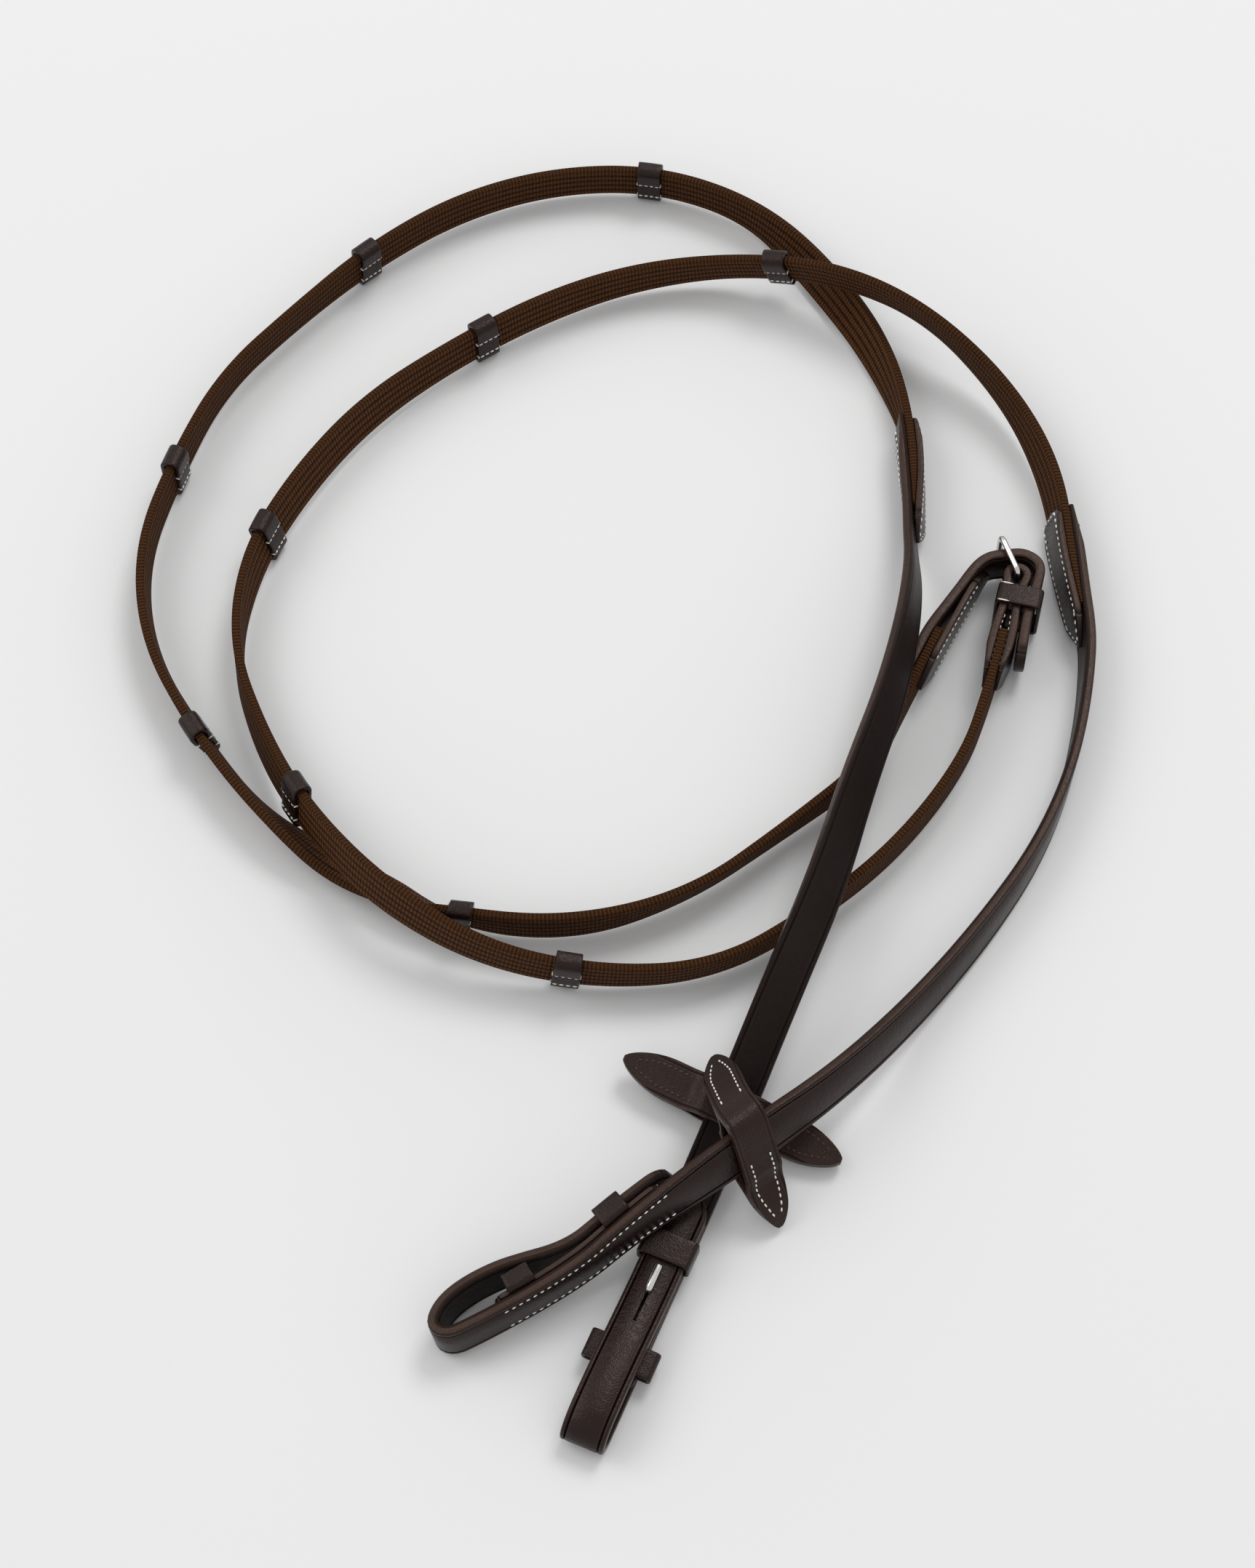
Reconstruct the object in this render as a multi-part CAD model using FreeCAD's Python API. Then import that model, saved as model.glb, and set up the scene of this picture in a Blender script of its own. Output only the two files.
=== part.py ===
"""A pair of web reins for a bridle, laid down in a double loop.

Each rein is one flat band that is followed from its bit end to the rider's
hands: leather with a fold that takes the bit ring, then webbing with leather
hand stops, then a short leather end.  One rein ends in a billet, the other in
a chape with a buckle, and the billet is done up in the buckle.

A band is described in its own bench coordinates: s runs along it, w across
its width and t through its thickness.  A route lays those coordinates out in
space.  Millimetres, +Z up, and the reins lie on the plane z = 0.
"""
import FreeCAD
import Part
import math
import os

Vector = FreeCAD.Vector
UP = Vector(0, 0, 1)

# Sizes of the band itself
STRAP_W = 16.0
LEATHER_T = 4.0
WEB_T = 3.4
LINING_T = 2.0
TAB_T = 2.6
CHAPE_T = 3.4
BEVEL = 0.5
SEAM = 0.1

# Places along each rein, measured from its bit fold
TAB_TIP_S = 388.0
WEB_START_S = 404.0
LEATHER_END_S = 450.0
HAND_STOP_FIRST_S = 623.0
HAND_STOP_PITCH = 130.5
HAND_STOP_COUNT = 5
BILLET_START_S = 1362.0
WEB_END_FROM_BAR = 26.0
CHAPE_LENGTH = 49.0
TAB_POINT = 16.0
WEB_IN_BILLET = 22.0
BILLET_TAPER = 30.0
TAB_TAIL = 8.0
TAB_TIP_T = 1.2

# Hand stops
HAND_STOP_L = 10.0
HAND_STOP_T = 2.1
HAND_STOP_FIT = 0.15

# Bit ends
LINING_START_S = 18.0
LINING_END_S = 90.0
EMPTY_KEEPER_S = 30.0
STUD_S = 54.0
TIP_KEEPER_S = 71.0
KEEPER_L = 10.5
KEEPER_T = 1.5
KEEPER_BASE_T = 1.0
KEEPER_FIT = 0.35
STUD_R = 1.4
STUD_BASE_T = 0.8
STUD_BASE_R = 4.0
STUD_NOSE = 7.5
KEYHOLE_R = 2.2
SLIT_L = 12.0
SLIT_W = 1.0
LAY_FIT = 0.2
FLAT_KEEPER_SPARE_W = 3.4
FLAT_KEEPER_GAP = 1.2
OPEN_KEEPER_GAP = 4.2
STUD_OVER_STRAP = 0.4

# Buckle
ROD_R = 1.2
BUCKLE_FIT = 0.6
BUCKLE_REACH = 17.7
BUCKLE_TURN = 32.0
BUCKLE_CORNER_R = 3.0
BAR_FIT = 0.35
BORE_FIT = 0.06
TONGUE_R = 1.0
TONGUE_HUB_R = 2.9
TONGUE_HUB_H = 3.0
TONGUE_TURN = 24.5
TONGUE_REACH = 18.8
TONGUE_PLAY = 0.6
PUNCH_L = 5.4
CHAPE_HALF_GAP = 0.9
BILLET_PLAY = 0.7
BESIDE = CHAPE_T + CHAPE_HALF_GAP + BILLET_PLAY + LEATHER_T / 2
CHAPE_KEEPER_L = 9.0
CHAPE_KEEPER_FROM_BAR = 10.0
SLOT_REACH = 14.0
PUNCH_DEPTH = 9.0
PUNCH_FROM_BAR = 6.0

# Rein stops, a leaf of two layers that the strap passes between
LEAF_L = 86.0
LEAF_W = 15.0
LEAF_T = 2.1
LEAF_FIT = 1.2
LEAF_TIP = 17.0
UPPER_STOP_S = 124.0
LOWER_STOP_S = 130.0
LOWER_SKEW = 0.06

# Heights that the bands are held at
REST_FIT = 0.5
STAND = HAND_STOP_T + HAND_STOP_FIT + REST_FIT
STOP_HOLD = 40.0
OVER = 0.6
JOINT_LIFT = 1.0
BUCKLE_LIFT = BUCKLE_FIT + 2 * ROD_R + REST_FIT
LEAF_LIFT = LEAF_T + LEAF_FIT + REST_FIT
OVER_WEB = STAND + STRAP_W + OVER
LEAN_OVER = 0.5 + 0.7 * STRAP_W + 0.7 * WEB_T + 1.6
FLAT_OVER = 0.5 + 0.5 * STRAP_W + 0.87 * WEB_T + 2.2
OVER_BIT_END = 2 * LEATHER_T + LINING_T + 2.0

# Each row is x, y, how far the band's lowest edge is above the ground, and
# how many degrees it leans to the left of its own direction from upright.
BILLET_REIN = [
    (-8, -271, 0, 90),
    (13, -222, 0, 90),
    (27, -191, 1.5, 90),
    (44, -150, LEAF_LIFT, 88),
    (62, -110, OVER_WEB + 1, 77),
    (79, -69, OVER_WEB + 1, 62),
    (92, -27, OVER_WEB + 1, 47),
    (107, 14, OVER_WEB + 1.5, 38),
    (116, 55, OVER_WEB - 1, 23),
    (121, 101, JOINT_LIFT, 10),
    (121, 145, JOINT_LIFT, 3),
    (109, 188, 0.5, -30),
    (88, 226, 0.5, -44),
    (60, 260, STAND, 2),
    (19, 278, STAND, 6),
    (-25, 277, STAND, 5),
    (-66, 262, STAND, 1),
    (-102, 235, STAND, 1),
    (-131, 204, STAND, 8),
    (-159, 170, STAND, 6),
    (-175, 128, STAND, -1),
    (-186, 85, STAND, -2),
    (-180, 42, STAND, -7),
    (-158, 3, STAND, -17),
    (-132, -32, STAND, -20),
    (-96, -57, 0.5, -76),
    (-57, -77, STAND, -7),
    (-13, -81, STAND, -2),
    (29, -67, STAND, -18),
    (64, -40, STAND, -12),
    (99, -11, STAND, 0),
    (113, 19, STAND, 0),
    (128, 49, BUCKLE_LIFT, 0),
    (139, 70, BUCKLE_LIFT, 0),
]
# The billet goes on round the buckle: rows of how far along the chape and how
# far to the right of it, from the buckle's bar.
BILLET_BEND = [
    (6, -13.5),
    (9.5, -5),
    (11.5, 1),
    (8, BESIDE + 1.2),
    (-2, BESIDE + 1.2),
    (-14, BESIDE),
    (-28, BESIDE + 0.6),
    (-37, BESIDE + 1.2),
]
BUCKLE_REIN = [
    (-54, -240, 2.4, 8),
    (-17, -222, 6, 7),
    (11, -200, OVER_BIT_END + 3, 14),
    (48, -174, OVER_BIT_END + 7, 42),
    (81, -147, OVER_BIT_END + 1, 26),
    (110, -114, 1.5, 19),
    (137, -81, 0, 14),
    (161, -45, 0, 5),
    (177, -5, 0, -3),
    (184, 37, JOINT_LIFT, -5),
    (179, 80, JOINT_LIFT, -12),
    (176, 123, STAND, -17),
    (160, 163, 6, 0),
    (129, 194, LEAN_OVER + 1.5, 18),
    (93, 215, LEAN_OVER + 1.5, 14),
    (52, 229, 6, 14),
    (9, 225, STAND, 3),
    (-30, 208, STAND, -5),
    (-66, 184, STAND, -4),
    (-99, 156, STAND, -13),
    (-124, 121, STAND, -16),
    (-142, 83, STAND, -15),
    (-147, 40, STAND, 1),
    (-133, -2, STAND, 14),
    (-113, -39, 10.5, 12),
    (-85, -73, FLAT_OVER + 3, 18),
    (-48, -94, 9, 2),
    (-5, -101, STAND, -4),
    (38, -98, STAND, -11),
    (75, -75, STAND, -5),
    (107, -47, STAND, -2),
    (133, -11, STAND, -1),
    (144, 19, BUCKLE_LIFT, 3),
    (152, 46, BUCKLE_LIFT, 2),
    (158, 70, BUCKLE_LIFT, 0),
]

# The fold round the bit ring, from the tucked tip back to the strap: how far
# from the fold and how far off the strap's flesh side.
TUCK = LEATHER_T + SEAM + LINING_T + STUD_BASE_T + LAY_FIT
FLAT_FOLD = [
    (93, TUCK), (80, TUCK), (66, TUCK), (54, TUCK), (44, TUCK + 1), (34, TUCK + 2.4),
    (24, TUCK + 3.8), (12, TUCK + 4.6), (2, TUCK + 3.8), (-4, 6), (-1, 0.2), (8, 0), (16, 0),
]
OPEN_FOLD = [
    (96, TUCK), (82, TUCK), (68, TUCK), (56, TUCK + 0.1), (46, TUCK + 1.8), (36, TUCK + 5),
    (25, TUCK + 7.6), (12, TUCK + 7.8), (2, TUCK + 5.2), (-4.5, 6.2), (-1, 0.3), (8, 0), (16, 0),
]

GRID = 8.0
FINE = 3.0
SAMPLES = 24
LEAF_RINGS = 36


def spline(points):
    """Smooth quadratic curve that starts and ends on its first and last points."""
    last = len(points) - 2
    knots = [float(k) for k in range(last + 1)]
    mults = [3] + [1] * (last - 1) + [3]
    curve = Part.BSplineCurve()
    curve.buildFromPolesMultsKnots(points, mults, knots, False, 2)
    return curve


def left_of(points, i):
    """Level direction to the left of a line of points at point i."""
    ahead = points[min(i + 1, len(points) - 1)] - points[max(i - 1, 0)]
    ahead.z = 0
    return UP.cross(ahead).normalize()


class Route:
    """Lays bench coordinates (s, w, t) out in space along a line of rows."""

    def __init__(self, rows):
        flat = [Vector(row[0], row[1], 0) for row in rows]
        middle = []
        edge = []
        for i, (x, y, lift, lean) in enumerate(rows):
            upright = math.cos(math.radians(lean))
            over = math.sin(math.radians(lean))
            z = lift + STRAP_W / 2 * abs(upright) + LEATHER_T / 2 * abs(over)
            across = UP * upright + left_of(flat, i) * over
            middle.append(Vector(x, y, z))
            edge.append(middle[-1] + across * STRAP_W)
        self.lay(spline(middle), spline(edge))

    def lay(self, line, edge):
        """Cut the line into stations GRID apart, each with its own frame."""
        count = SAMPLES * int(line.LastParameter)
        params = [line.LastParameter * k / count for k in range(count + 1)]
        points = [line.value(p) for p in params]
        run = [0.0]
        for a, b in zip(points, points[1:]):
            run.append(run[-1] + (b - a).Length)
        self.length = run[-1]
        self.frames = []
        steps = int(math.ceil(self.length / GRID))
        for k in range(steps + 1):
            s = self.length * k / steps
            j = 1
            while j < count and run[j] < s:
                j += 1
            share = (s - run[j - 1]) / (run[j] - run[j - 1])
            param = params[j - 1] + share * (params[j] - params[j - 1])
            ahead = line.tangent(param)[0]
            across = edge.value(param) - line.value(param)
            across = (across - ahead * across.dot(ahead)).normalize()
            through = ahead.cross(across)
            middle = line.value(param)
            reach = STRAP_W / 2 * abs(across.z) + LEATHER_T / 2 * abs(through.z)
            middle.z += max(0.0, reach + self.rest_height(s) - middle.z)
            self.frames.append((middle, across, through))
        self.step = self.length / steps

    def rest_height(self, s):
        """Height of the band's lowest edge where it rests: hand stops hold it up."""
        height = 0.0
        for i in range(HAND_STOP_COUNT):
            away = abs(s - HAND_STOP_FIRST_S - i * HAND_STOP_PITCH)
            height = max(height, STAND * (1.4 - away / STOP_HOLD))
        return min(height, STAND)

    def at(self, s, w, t):
        """Point at bench coordinates; beyond either end the band runs on straight."""
        k = min(max(int(s / self.step), 0), len(self.frames) - 2)
        share = s / self.step - k
        ends = []
        for middle, across, through in self.frames[k:k + 2]:
            ends.append(middle + across * w + through * t)
        return ends[0] + (ends[1] - ends[0]) * share

    def frame(self, s, t=0.0):
        """Origin, ahead, across and through directions at one place."""
        origin = self.at(s, 0, t)
        ahead = (self.at(s + 1, 0, t) - self.at(s - 1, 0, t)).normalize()
        across = self.at(s, 1, t) - origin
        across = (across - ahead * across.dot(ahead)).normalize()
        return origin, ahead, across, ahead.cross(across)

    def stations(self, start, end):
        """Grid stations between two places."""
        inner = [f * self.step for f in range(len(self.frames))]
        return [s for s in inner if start + 0.5 < s < end - 0.5]


def blend(rows, s, column):
    """Straight-line value between rows that start with s."""
    for a, b in zip(rows, rows[1:]):
        if s <= b[0]:
            share = (s - a[0]) / (b[0] - a[0])
            return a[column] + share * (b[column] - a[column])
    return rows[-1][column]


def ring_of(low_w, high_w, low_t, high_t, bevel):
    """Bevelled rectangle as (w, t) corners."""
    return [
        (low_w + bevel, low_t), (high_w - bevel, low_t),
        (high_w, low_t + bevel), (high_w, high_t - bevel),
        (high_w - bevel, high_t), (low_w + bevel, high_t),
        (low_w, high_t - bevel), (low_w, low_t + bevel),
    ]


def loft(rings):
    """Solid through rings of points."""
    wires = [Part.makePolygon(ring + [ring[0]]) for ring in rings]
    return Part.makeLoft(wires, True, True)


def strip(route, rows, bevel=BEVEL):
    """Band laid on a route from rows of (s, half width, low t, high t)."""
    places = [row[0] for row in rows]
    places += route.stations(rows[0][0], rows[-1][0])
    rings = []
    for s in sorted(set(places)):
        half, low, high = [blend(rows, s, c) for c in (1, 2, 3)]
        corners = ring_of(-half, half, low, high, min(bevel, half / 3, (high - low) / 3))
        rings.append([route.at(s, w, t) for w, t in corners])
    return loft(rings)


def folded_rings(route, path, thickness):
    """Rings of a band that follows a path in the (s, t) plane of a route."""
    curve = spline([Vector(s, t, 0) for s, t in path])
    count = int(math.ceil(curve.length() / FINE))
    rings = []
    for k in range(count + 1):
        param = curve.parameterAtDistance(curve.length() * k / count)
        point = curve.value(param)
        ahead = curve.tangent(param)[0]
        corners = ring_of(-STRAP_W / 2, STRAP_W / 2, -thickness / 2, thickness / 2, BEVEL)
        rings.append([route.at(point.x - ahead.y * h, w, point.y + ahead.x * h) for w, h in corners])
    return rings


def sleeve(route, start, end, inner, outer):
    """Loop of leather round a band; inner and outer are (half width, low t, high t)."""
    body = strip(route, [(start,) + outer, (end,) + outer])
    hollow = strip(route, [(start - 2,) + inner, (end + 2,) + inner], 0.1)
    return body.cut(hollow)


def sided(side, low, high):
    """Low and high t of a layer on one side of the band."""
    return (low, high) if side > 0 else (-high, -low)


def point_rows(tip, inward, half, low_t, high_t, length):
    """Rows of a pointed end, from its tip inward along s."""
    rows = []
    for k in range(7):
        share = k / 6
        width = 0.8 + (half - 0.8) * math.sin(math.pi / 2 * share)
        low = low_t[0] + (low_t[1] - low_t[0]) * share
        high = high_t[0] + (high_t[1] - high_t[0]) * share
        rows.append((tip + inward * length * share, width, low, high))
    return rows


def webbing(route, start, end):
    """Woven band between two leather ends."""
    return strip(route, [(s, STRAP_W / 2, -WEB_T / 2, WEB_T / 2) for s in (start, end)])


def hand_stop(route, index):
    """Leather loop sewn round the webbing, to grip against."""
    s = HAND_STOP_FIRST_S + HAND_STOP_PITCH * index
    inner = (STRAP_W / 2 + HAND_STOP_FIT, -WEB_T / 2 - HAND_STOP_FIT, WEB_T / 2 + HAND_STOP_FIT)
    outer = (inner[0] + HAND_STOP_T, inner[1] - HAND_STOP_T, inner[2] + HAND_STOP_T)
    return sleeve(route, s - HAND_STOP_L / 2, s + HAND_STOP_L / 2, inner, outer)


def joint_shift():
    """How far the leather's middle lies from the webbing's where they are sewn."""
    return WEB_T / 2 + SEAM + LEATHER_T / 2


def bit_strap(route, side, fold):
    """Leather from the tucked tip round the bit fold and up to the webbing."""
    path = [(s, t * side) for s, t in fold]
    rings = folded_rings(route, path, LEATHER_T)
    first = fold[-1][0]
    rows = [
        (first, 0.0),
        (TAB_TIP_S - 20, 0.0),
        (WEB_START_S, -side * joint_shift()),
        (LEATHER_END_S, -side * joint_shift()),
    ]
    places = [row[0] for row in rows[1:]] + route.stations(first, LEATHER_END_S)
    for s in sorted(set(places)):
        shift = blend(rows, s, 1)
        low, high = shift - LEATHER_T / 2, shift + LEATHER_T / 2
        corners = ring_of(-STRAP_W / 2, STRAP_W / 2, low, high, BEVEL)
        rings.append([route.at(s, w, t) for w, t in corners])
    return loft(rings).cut(keyhole(route, side))


def keyhole(route, side):
    """Hole and slit in the tucked end that go over the hook stud."""
    origin, ahead, across, through = route.frame(STUD_S, side * TUCK)
    reach = LEATHER_T * 1.5
    hole = Part.makeCylinder(KEYHOLE_R, 2 * reach, origin - through * reach, through)
    corner = origin - ahead * SLIT_L - across * (SLIT_W / 2) - through * reach
    slit = box(corner, ahead * SLIT_L, across * SLIT_W, through * (2 * reach))
    return hole.fuse(slit)


def box(corner, a, b, c):
    """Box from a corner along three edges."""
    face = Part.Face(Part.makePolygon([corner, corner + a, corner + a + b, corner + b, corner]))
    return face.extrude(c)


def lining(route, side):
    """Thin layer sewn to the flesh side, let in over the keepers' feet."""
    low = LEATHER_T / 2 + SEAM
    high = low + LINING_T
    rows = [(LINING_START_S, low, low + LINING_T / 2)]
    for keeper in (EMPTY_KEEPER_S, TIP_KEEPER_S):
        for offset, foot in ((-1.0, 0), (-0.5, 1), (0.5, 1), (1.0, 0)):
            s = keeper + offset * (KEEPER_L + 1)
            if foot:
                s = keeper + offset * (KEEPER_L + 0.6)
            rows.append((s, low + foot * (KEEPER_BASE_T + SEAM), high))
    rows.append((LINING_END_S, low, low + LINING_T / 2))
    return strip(route, [(s, STRAP_W / 2) + sided(side, a, b) for s, a, b in rows], 0.3)


def bit_keeper(route, side, s, half, top):
    """Keeper whose foot is sewn under the lining and whose bridge stands off it."""
    foot = LEATHER_T / 2 + SEAM / 2
    inner = (half,) + sided(side, foot + KEEPER_BASE_T, top)
    outer = (half + KEEPER_T,) + sided(side, foot, top + KEEPER_T)
    return sleeve(route, s - KEEPER_L / 2, s + KEEPER_L / 2, inner, outer)


def hook_stud(route, side):
    """Hook on the lining that holds the tucked end by its keyhole."""
    start = LEATHER_T / 2 + SEAM + LINING_T + SEAM
    origin, ahead, across, through = route.frame(STUD_S, side * start)
    out = through * side
    base = Part.makeCylinder(STUD_BASE_R, STUD_BASE_T, origin, out)
    top = TUCK + LEATHER_T / 2 + STUD_R + STUD_OVER_STRAP - start
    elbow = origin + out * top
    stem = Part.makeCylinder(STUD_R, top, origin, out)
    nose = Part.makeCylinder(STUD_R, STUD_NOSE, elbow, ahead)
    ends = [Part.makeSphere(STUD_R, elbow), Part.makeSphere(STUD_R, elbow + ahead * STUD_NOSE)]
    return base.fuse([stem, nose] + ends).removeSplitter()


def joint_tab(route, side, tip, inward, flare):
    """Pointed tab on the other side of the webbing from the strap."""
    face = WEB_T / 2 + SEAM
    near = joint_shift() - LEATHER_T / 2
    rows = point_rows(tip, inward, STRAP_W / 2, (face - flare, face), (face - flare + TAB_T, face + TAB_T),
                      TAB_POINT)
    end = LEATHER_END_S if inward > 0 else tip
    rows.append((end, STRAP_W / 2, near, near + TAB_T))
    rows = [(s, half) + sided(side, low, high) for s, half, low, high in rows]
    return strip(route, rows)


def billet(route):
    """Leather end of the first rein, through the buckle and its keeper."""
    away = -joint_shift()
    start = BILLET_START_S
    rows = [
        (start, away),
        (web_end(route), away),
        (web_end(route) + BILLET_TAPER, 0.0),
        (route.length - 6, 0.0),
    ]
    full = [(s, STRAP_W / 2, t - LEATHER_T / 2, t + LEATHER_T / 2) for s, t in rows]
    full.append((route.length - 2, STRAP_W / 3, -LEATHER_T / 2, LEATHER_T / 2))
    full.append((route.length, STRAP_W / 6, -LEATHER_T / 2, LEATHER_T / 2))
    return strip(route, full)


def web_end(route):
    """Where the billet rein's webbing ends inside its leather joint."""
    return BILLET_START_S + WEB_IN_BILLET


def billet_tab(route):
    """Doubling tab of the billet, pointed at the webbing and cut off at the bend."""
    face = WEB_T / 2 + SEAM
    stop = web_end(route)
    tip_high = (face + TAB_TIP_T, face + TAB_T)
    rows = point_rows(BILLET_START_S - 2, 1, STRAP_W / 2, (face, face), tip_high, TAB_POINT)
    rows.append((stop, STRAP_W / 2, face, face + TAB_T))
    laid = LEATHER_T / 2 + SEAM
    rows.append((stop + BILLET_TAPER, STRAP_W / 2, laid, laid + TAB_T))
    rows.append((stop + BILLET_TAPER + TAB_TAIL, STRAP_W / 2 - 2, laid, laid + TAB_TIP_T))
    return strip(route, rows)


def chape_path(route):
    """Chape in the (s, t) plane: up one side, round the bar, down the other."""
    bar = route.length
    spread = WEB_T / 2 + SEAM + CHAPE_T / 2
    turn = ROD_R + BAR_FIT + CHAPE_T / 2
    flat = CHAPE_T / 2 + CHAPE_HALF_GAP
    side = [
        (bar - CHAPE_LENGTH, spread),
        (bar - WEB_END_FROM_BAR - 10, spread),
        (bar - WEB_END_FROM_BAR + 2, spread),
        (bar - 16, flat), (bar - 9, flat), (bar - 3, turn), (bar + 1.6, turn + 0.9), (bar + turn + 1.0, 1.8),
    ]
    back = [(s, -t) for s, t in reversed(side)]
    return side, back


def chape(route):
    """Leather folded round the buckle's bar, slotted for the tongue."""
    side, back = chape_path(route)
    body = loft(folded_rings(route, side + back, CHAPE_T))
    origin, ahead, across, through = route.frame(route.length)
    tall = TONGUE_HUB_H + 2 * TONGUE_PLAY
    wide = 2 * (ROD_R + BAR_FIT + CHAPE_T) + 4
    corner = origin - ahead * (TONGUE_HUB_R + 1) - across * (tall / 2) - through * (wide / 2)
    return body.cut(box(corner, ahead * SLOT_REACH, across * tall, through * wide))


def chape_keeper(route):
    """Keeper sewn round the chape that also holds the billet down."""
    middle = route.length - CHAPE_KEEPER_FROM_BAR
    low = -(CHAPE_T + CHAPE_HALF_GAP + KEEPER_FIT)
    high = BESIDE + CHAPE_HALF_GAP + LEATHER_T / 2 + KEEPER_FIT
    inner = (STRAP_W / 2 + KEEPER_FIT, low, high)
    outer = (inner[0] + KEEPER_T, low - KEEPER_T, high + KEEPER_T)
    return sleeve(route, middle - CHAPE_KEEPER_L / 2, middle + CHAPE_KEEPER_L / 2, inner, outer)


def bar_place(route):
    """Middle of the buckle's bar with the chape's own directions."""
    return route.frame(route.length)


def turned(ahead, across, degrees):
    """Direction turned to the left of the chape about the bar."""
    left = across.cross(ahead)
    angle = math.radians(degrees)
    return ahead * math.cos(angle) + left * math.sin(angle)


def buckle_frame(route):
    """Rounded rectangle of rod, with the bar as one of its sides."""
    origin, ahead, across, through = bar_place(route)
    reach = turned(ahead, across, BUCKLE_TURN)
    half = STRAP_W / 2 + BUCKLE_FIT + ROD_R
    r = BUCKLE_CORNER_R
    corners = [
        (origin - across * half, reach, across),
        (origin + across * half, across * -1, reach),
        (origin + across * half + reach * BUCKLE_REACH, reach * -1, across * -1),
        (origin - across * half + reach * BUCKLE_REACH, across, reach * -1),
    ]
    pieces = []
    for i, (corner, one, other) in enumerate(corners):
        following = corners[(i + 1) % 4][0]
        run = following - corner
        ahead_run = Vector(run).normalize()
        start = corner + ahead_run * r
        pieces.append(Part.makeCylinder(ROD_R, run.Length - 2 * r, start, ahead_run))
        centre = corner + one * r + other * r
        axis = one.cross(other)
        face = Part.Face(Part.Wire(Part.makeCircle(ROD_R, start, ahead_run)))
        previous = corner - corners[i - 1][0]
        bend = face.revolve(centre, axis, 90)
        if bend.distToShape(Part.Vertex(corner - previous.normalize() * r))[0] > ROD_R + 0.01:
            bend = face.revolve(centre, axis, -90)
        pieces.append(bend)
    return pieces[0].fuse(pieces[1:]).removeSplitter()


def buckle_tongue(route):
    """Tongue that turns on the bar and goes through the billet's hole."""
    origin, ahead, across, through = bar_place(route)
    reach = turned(ahead, across, TONGUE_TURN)
    foot = origin - across * (TONGUE_HUB_H / 2)
    hub = Part.makeCylinder(TONGUE_HUB_R, TONGUE_HUB_H, foot, across)
    bore = Part.makeCylinder(ROD_R + BORE_FIT, TONGUE_HUB_H * 2, foot - across, across)
    start = origin + reach * (TONGUE_HUB_R - TONGUE_R / 2)
    prong = Part.makeCylinder(TONGUE_R, TONGUE_REACH - TONGUE_HUB_R, start, reach)
    return hub.cut(bore).fuse(prong)


def punched(route, solid):
    """The billet with the hole that the tongue goes through."""
    origin, ahead, across, through = bar_place(route)
    reach = turned(ahead, across, TONGUE_TURN)
    aside = across.cross(reach)
    tall = 2 * TONGUE_R + 2 * TONGUE_PLAY
    corner = origin + reach * PUNCH_FROM_BAR - across * (tall / 2) - aside * (PUNCH_L / 2)
    return solid.cut(box(corner, reach * PUNCH_DEPTH, across * tall, aside * PUNCH_L))


def leaf_layer(place, line, side):
    """One layer of a rein stop, along a line of (ahead, w, t) that crosses the strap."""
    origin, ahead, across, through = place
    curve = spline([Vector(w, t, a) for a, w, t in line])
    tunnel = curve.length(0, curve.parameter(Vector(0, 0, 0)))
    count = LEAF_RINGS
    rings = []
    for k in range(count + 1):
        along = curve.length() * k / count
        param = curve.parameterAtDistance(along)
        point = curve.value(param)
        tangent = curve.tangent(param)[0]
        taper = min(1.0, 0.06 + min(along, curve.length() - along) / LEAF_TIP)
        half = LEAF_W / 2 * math.sqrt(1 - (1 - taper) ** 2)
        gap = stand_off(along - tunnel)
        ring = []
        for a, b in ring_of(-half, half, gap, gap + LEAF_T, min(0.4, half / 3)):
            w = point.x - tangent.y * b * side
            t = point.y + tangent.x * b * side
            ring.append(origin + ahead * (point.z + a) + across * w + through * t)
        rings.append(ring)
    return loft(rings)


def stand_off(along):
    """How far a leaf layer stands off the leaf's middle: wide over the strap."""
    hollow = LEATHER_T / 2 + LEAF_FIT
    full = STRAP_W / 2 + 1.5
    share = min(1.0, max(0.0, (abs(along) - full) / 7.0))
    smooth = share * share * (3 - 2 * share)
    return hollow + (SEAM / 2 - hollow) * smooth


def flat_leaf():
    """Middle line of a stop that lies flat."""
    places = [k * LEAF_L / 8 for k in range(-4, 5)]
    return [(LOWER_SKEW * w, w, 0.0) for w in places]


def draped_leaf():
    """Middle line of a stop whose upper wing is bent back over the strap's edge."""
    return [
        (13, 15, -33), (9, 15.5, -24), (5.5, 15.5, -14), (2.5, 15, -6), (1, 11, -0.5), (0.5, 5, 0),
        (-0.3, -3, 0), (-1, -11, 0.5), (-2, -19, 3), (-2.7, -26, 5), (-3.4, -32, 4),
    ]


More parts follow.
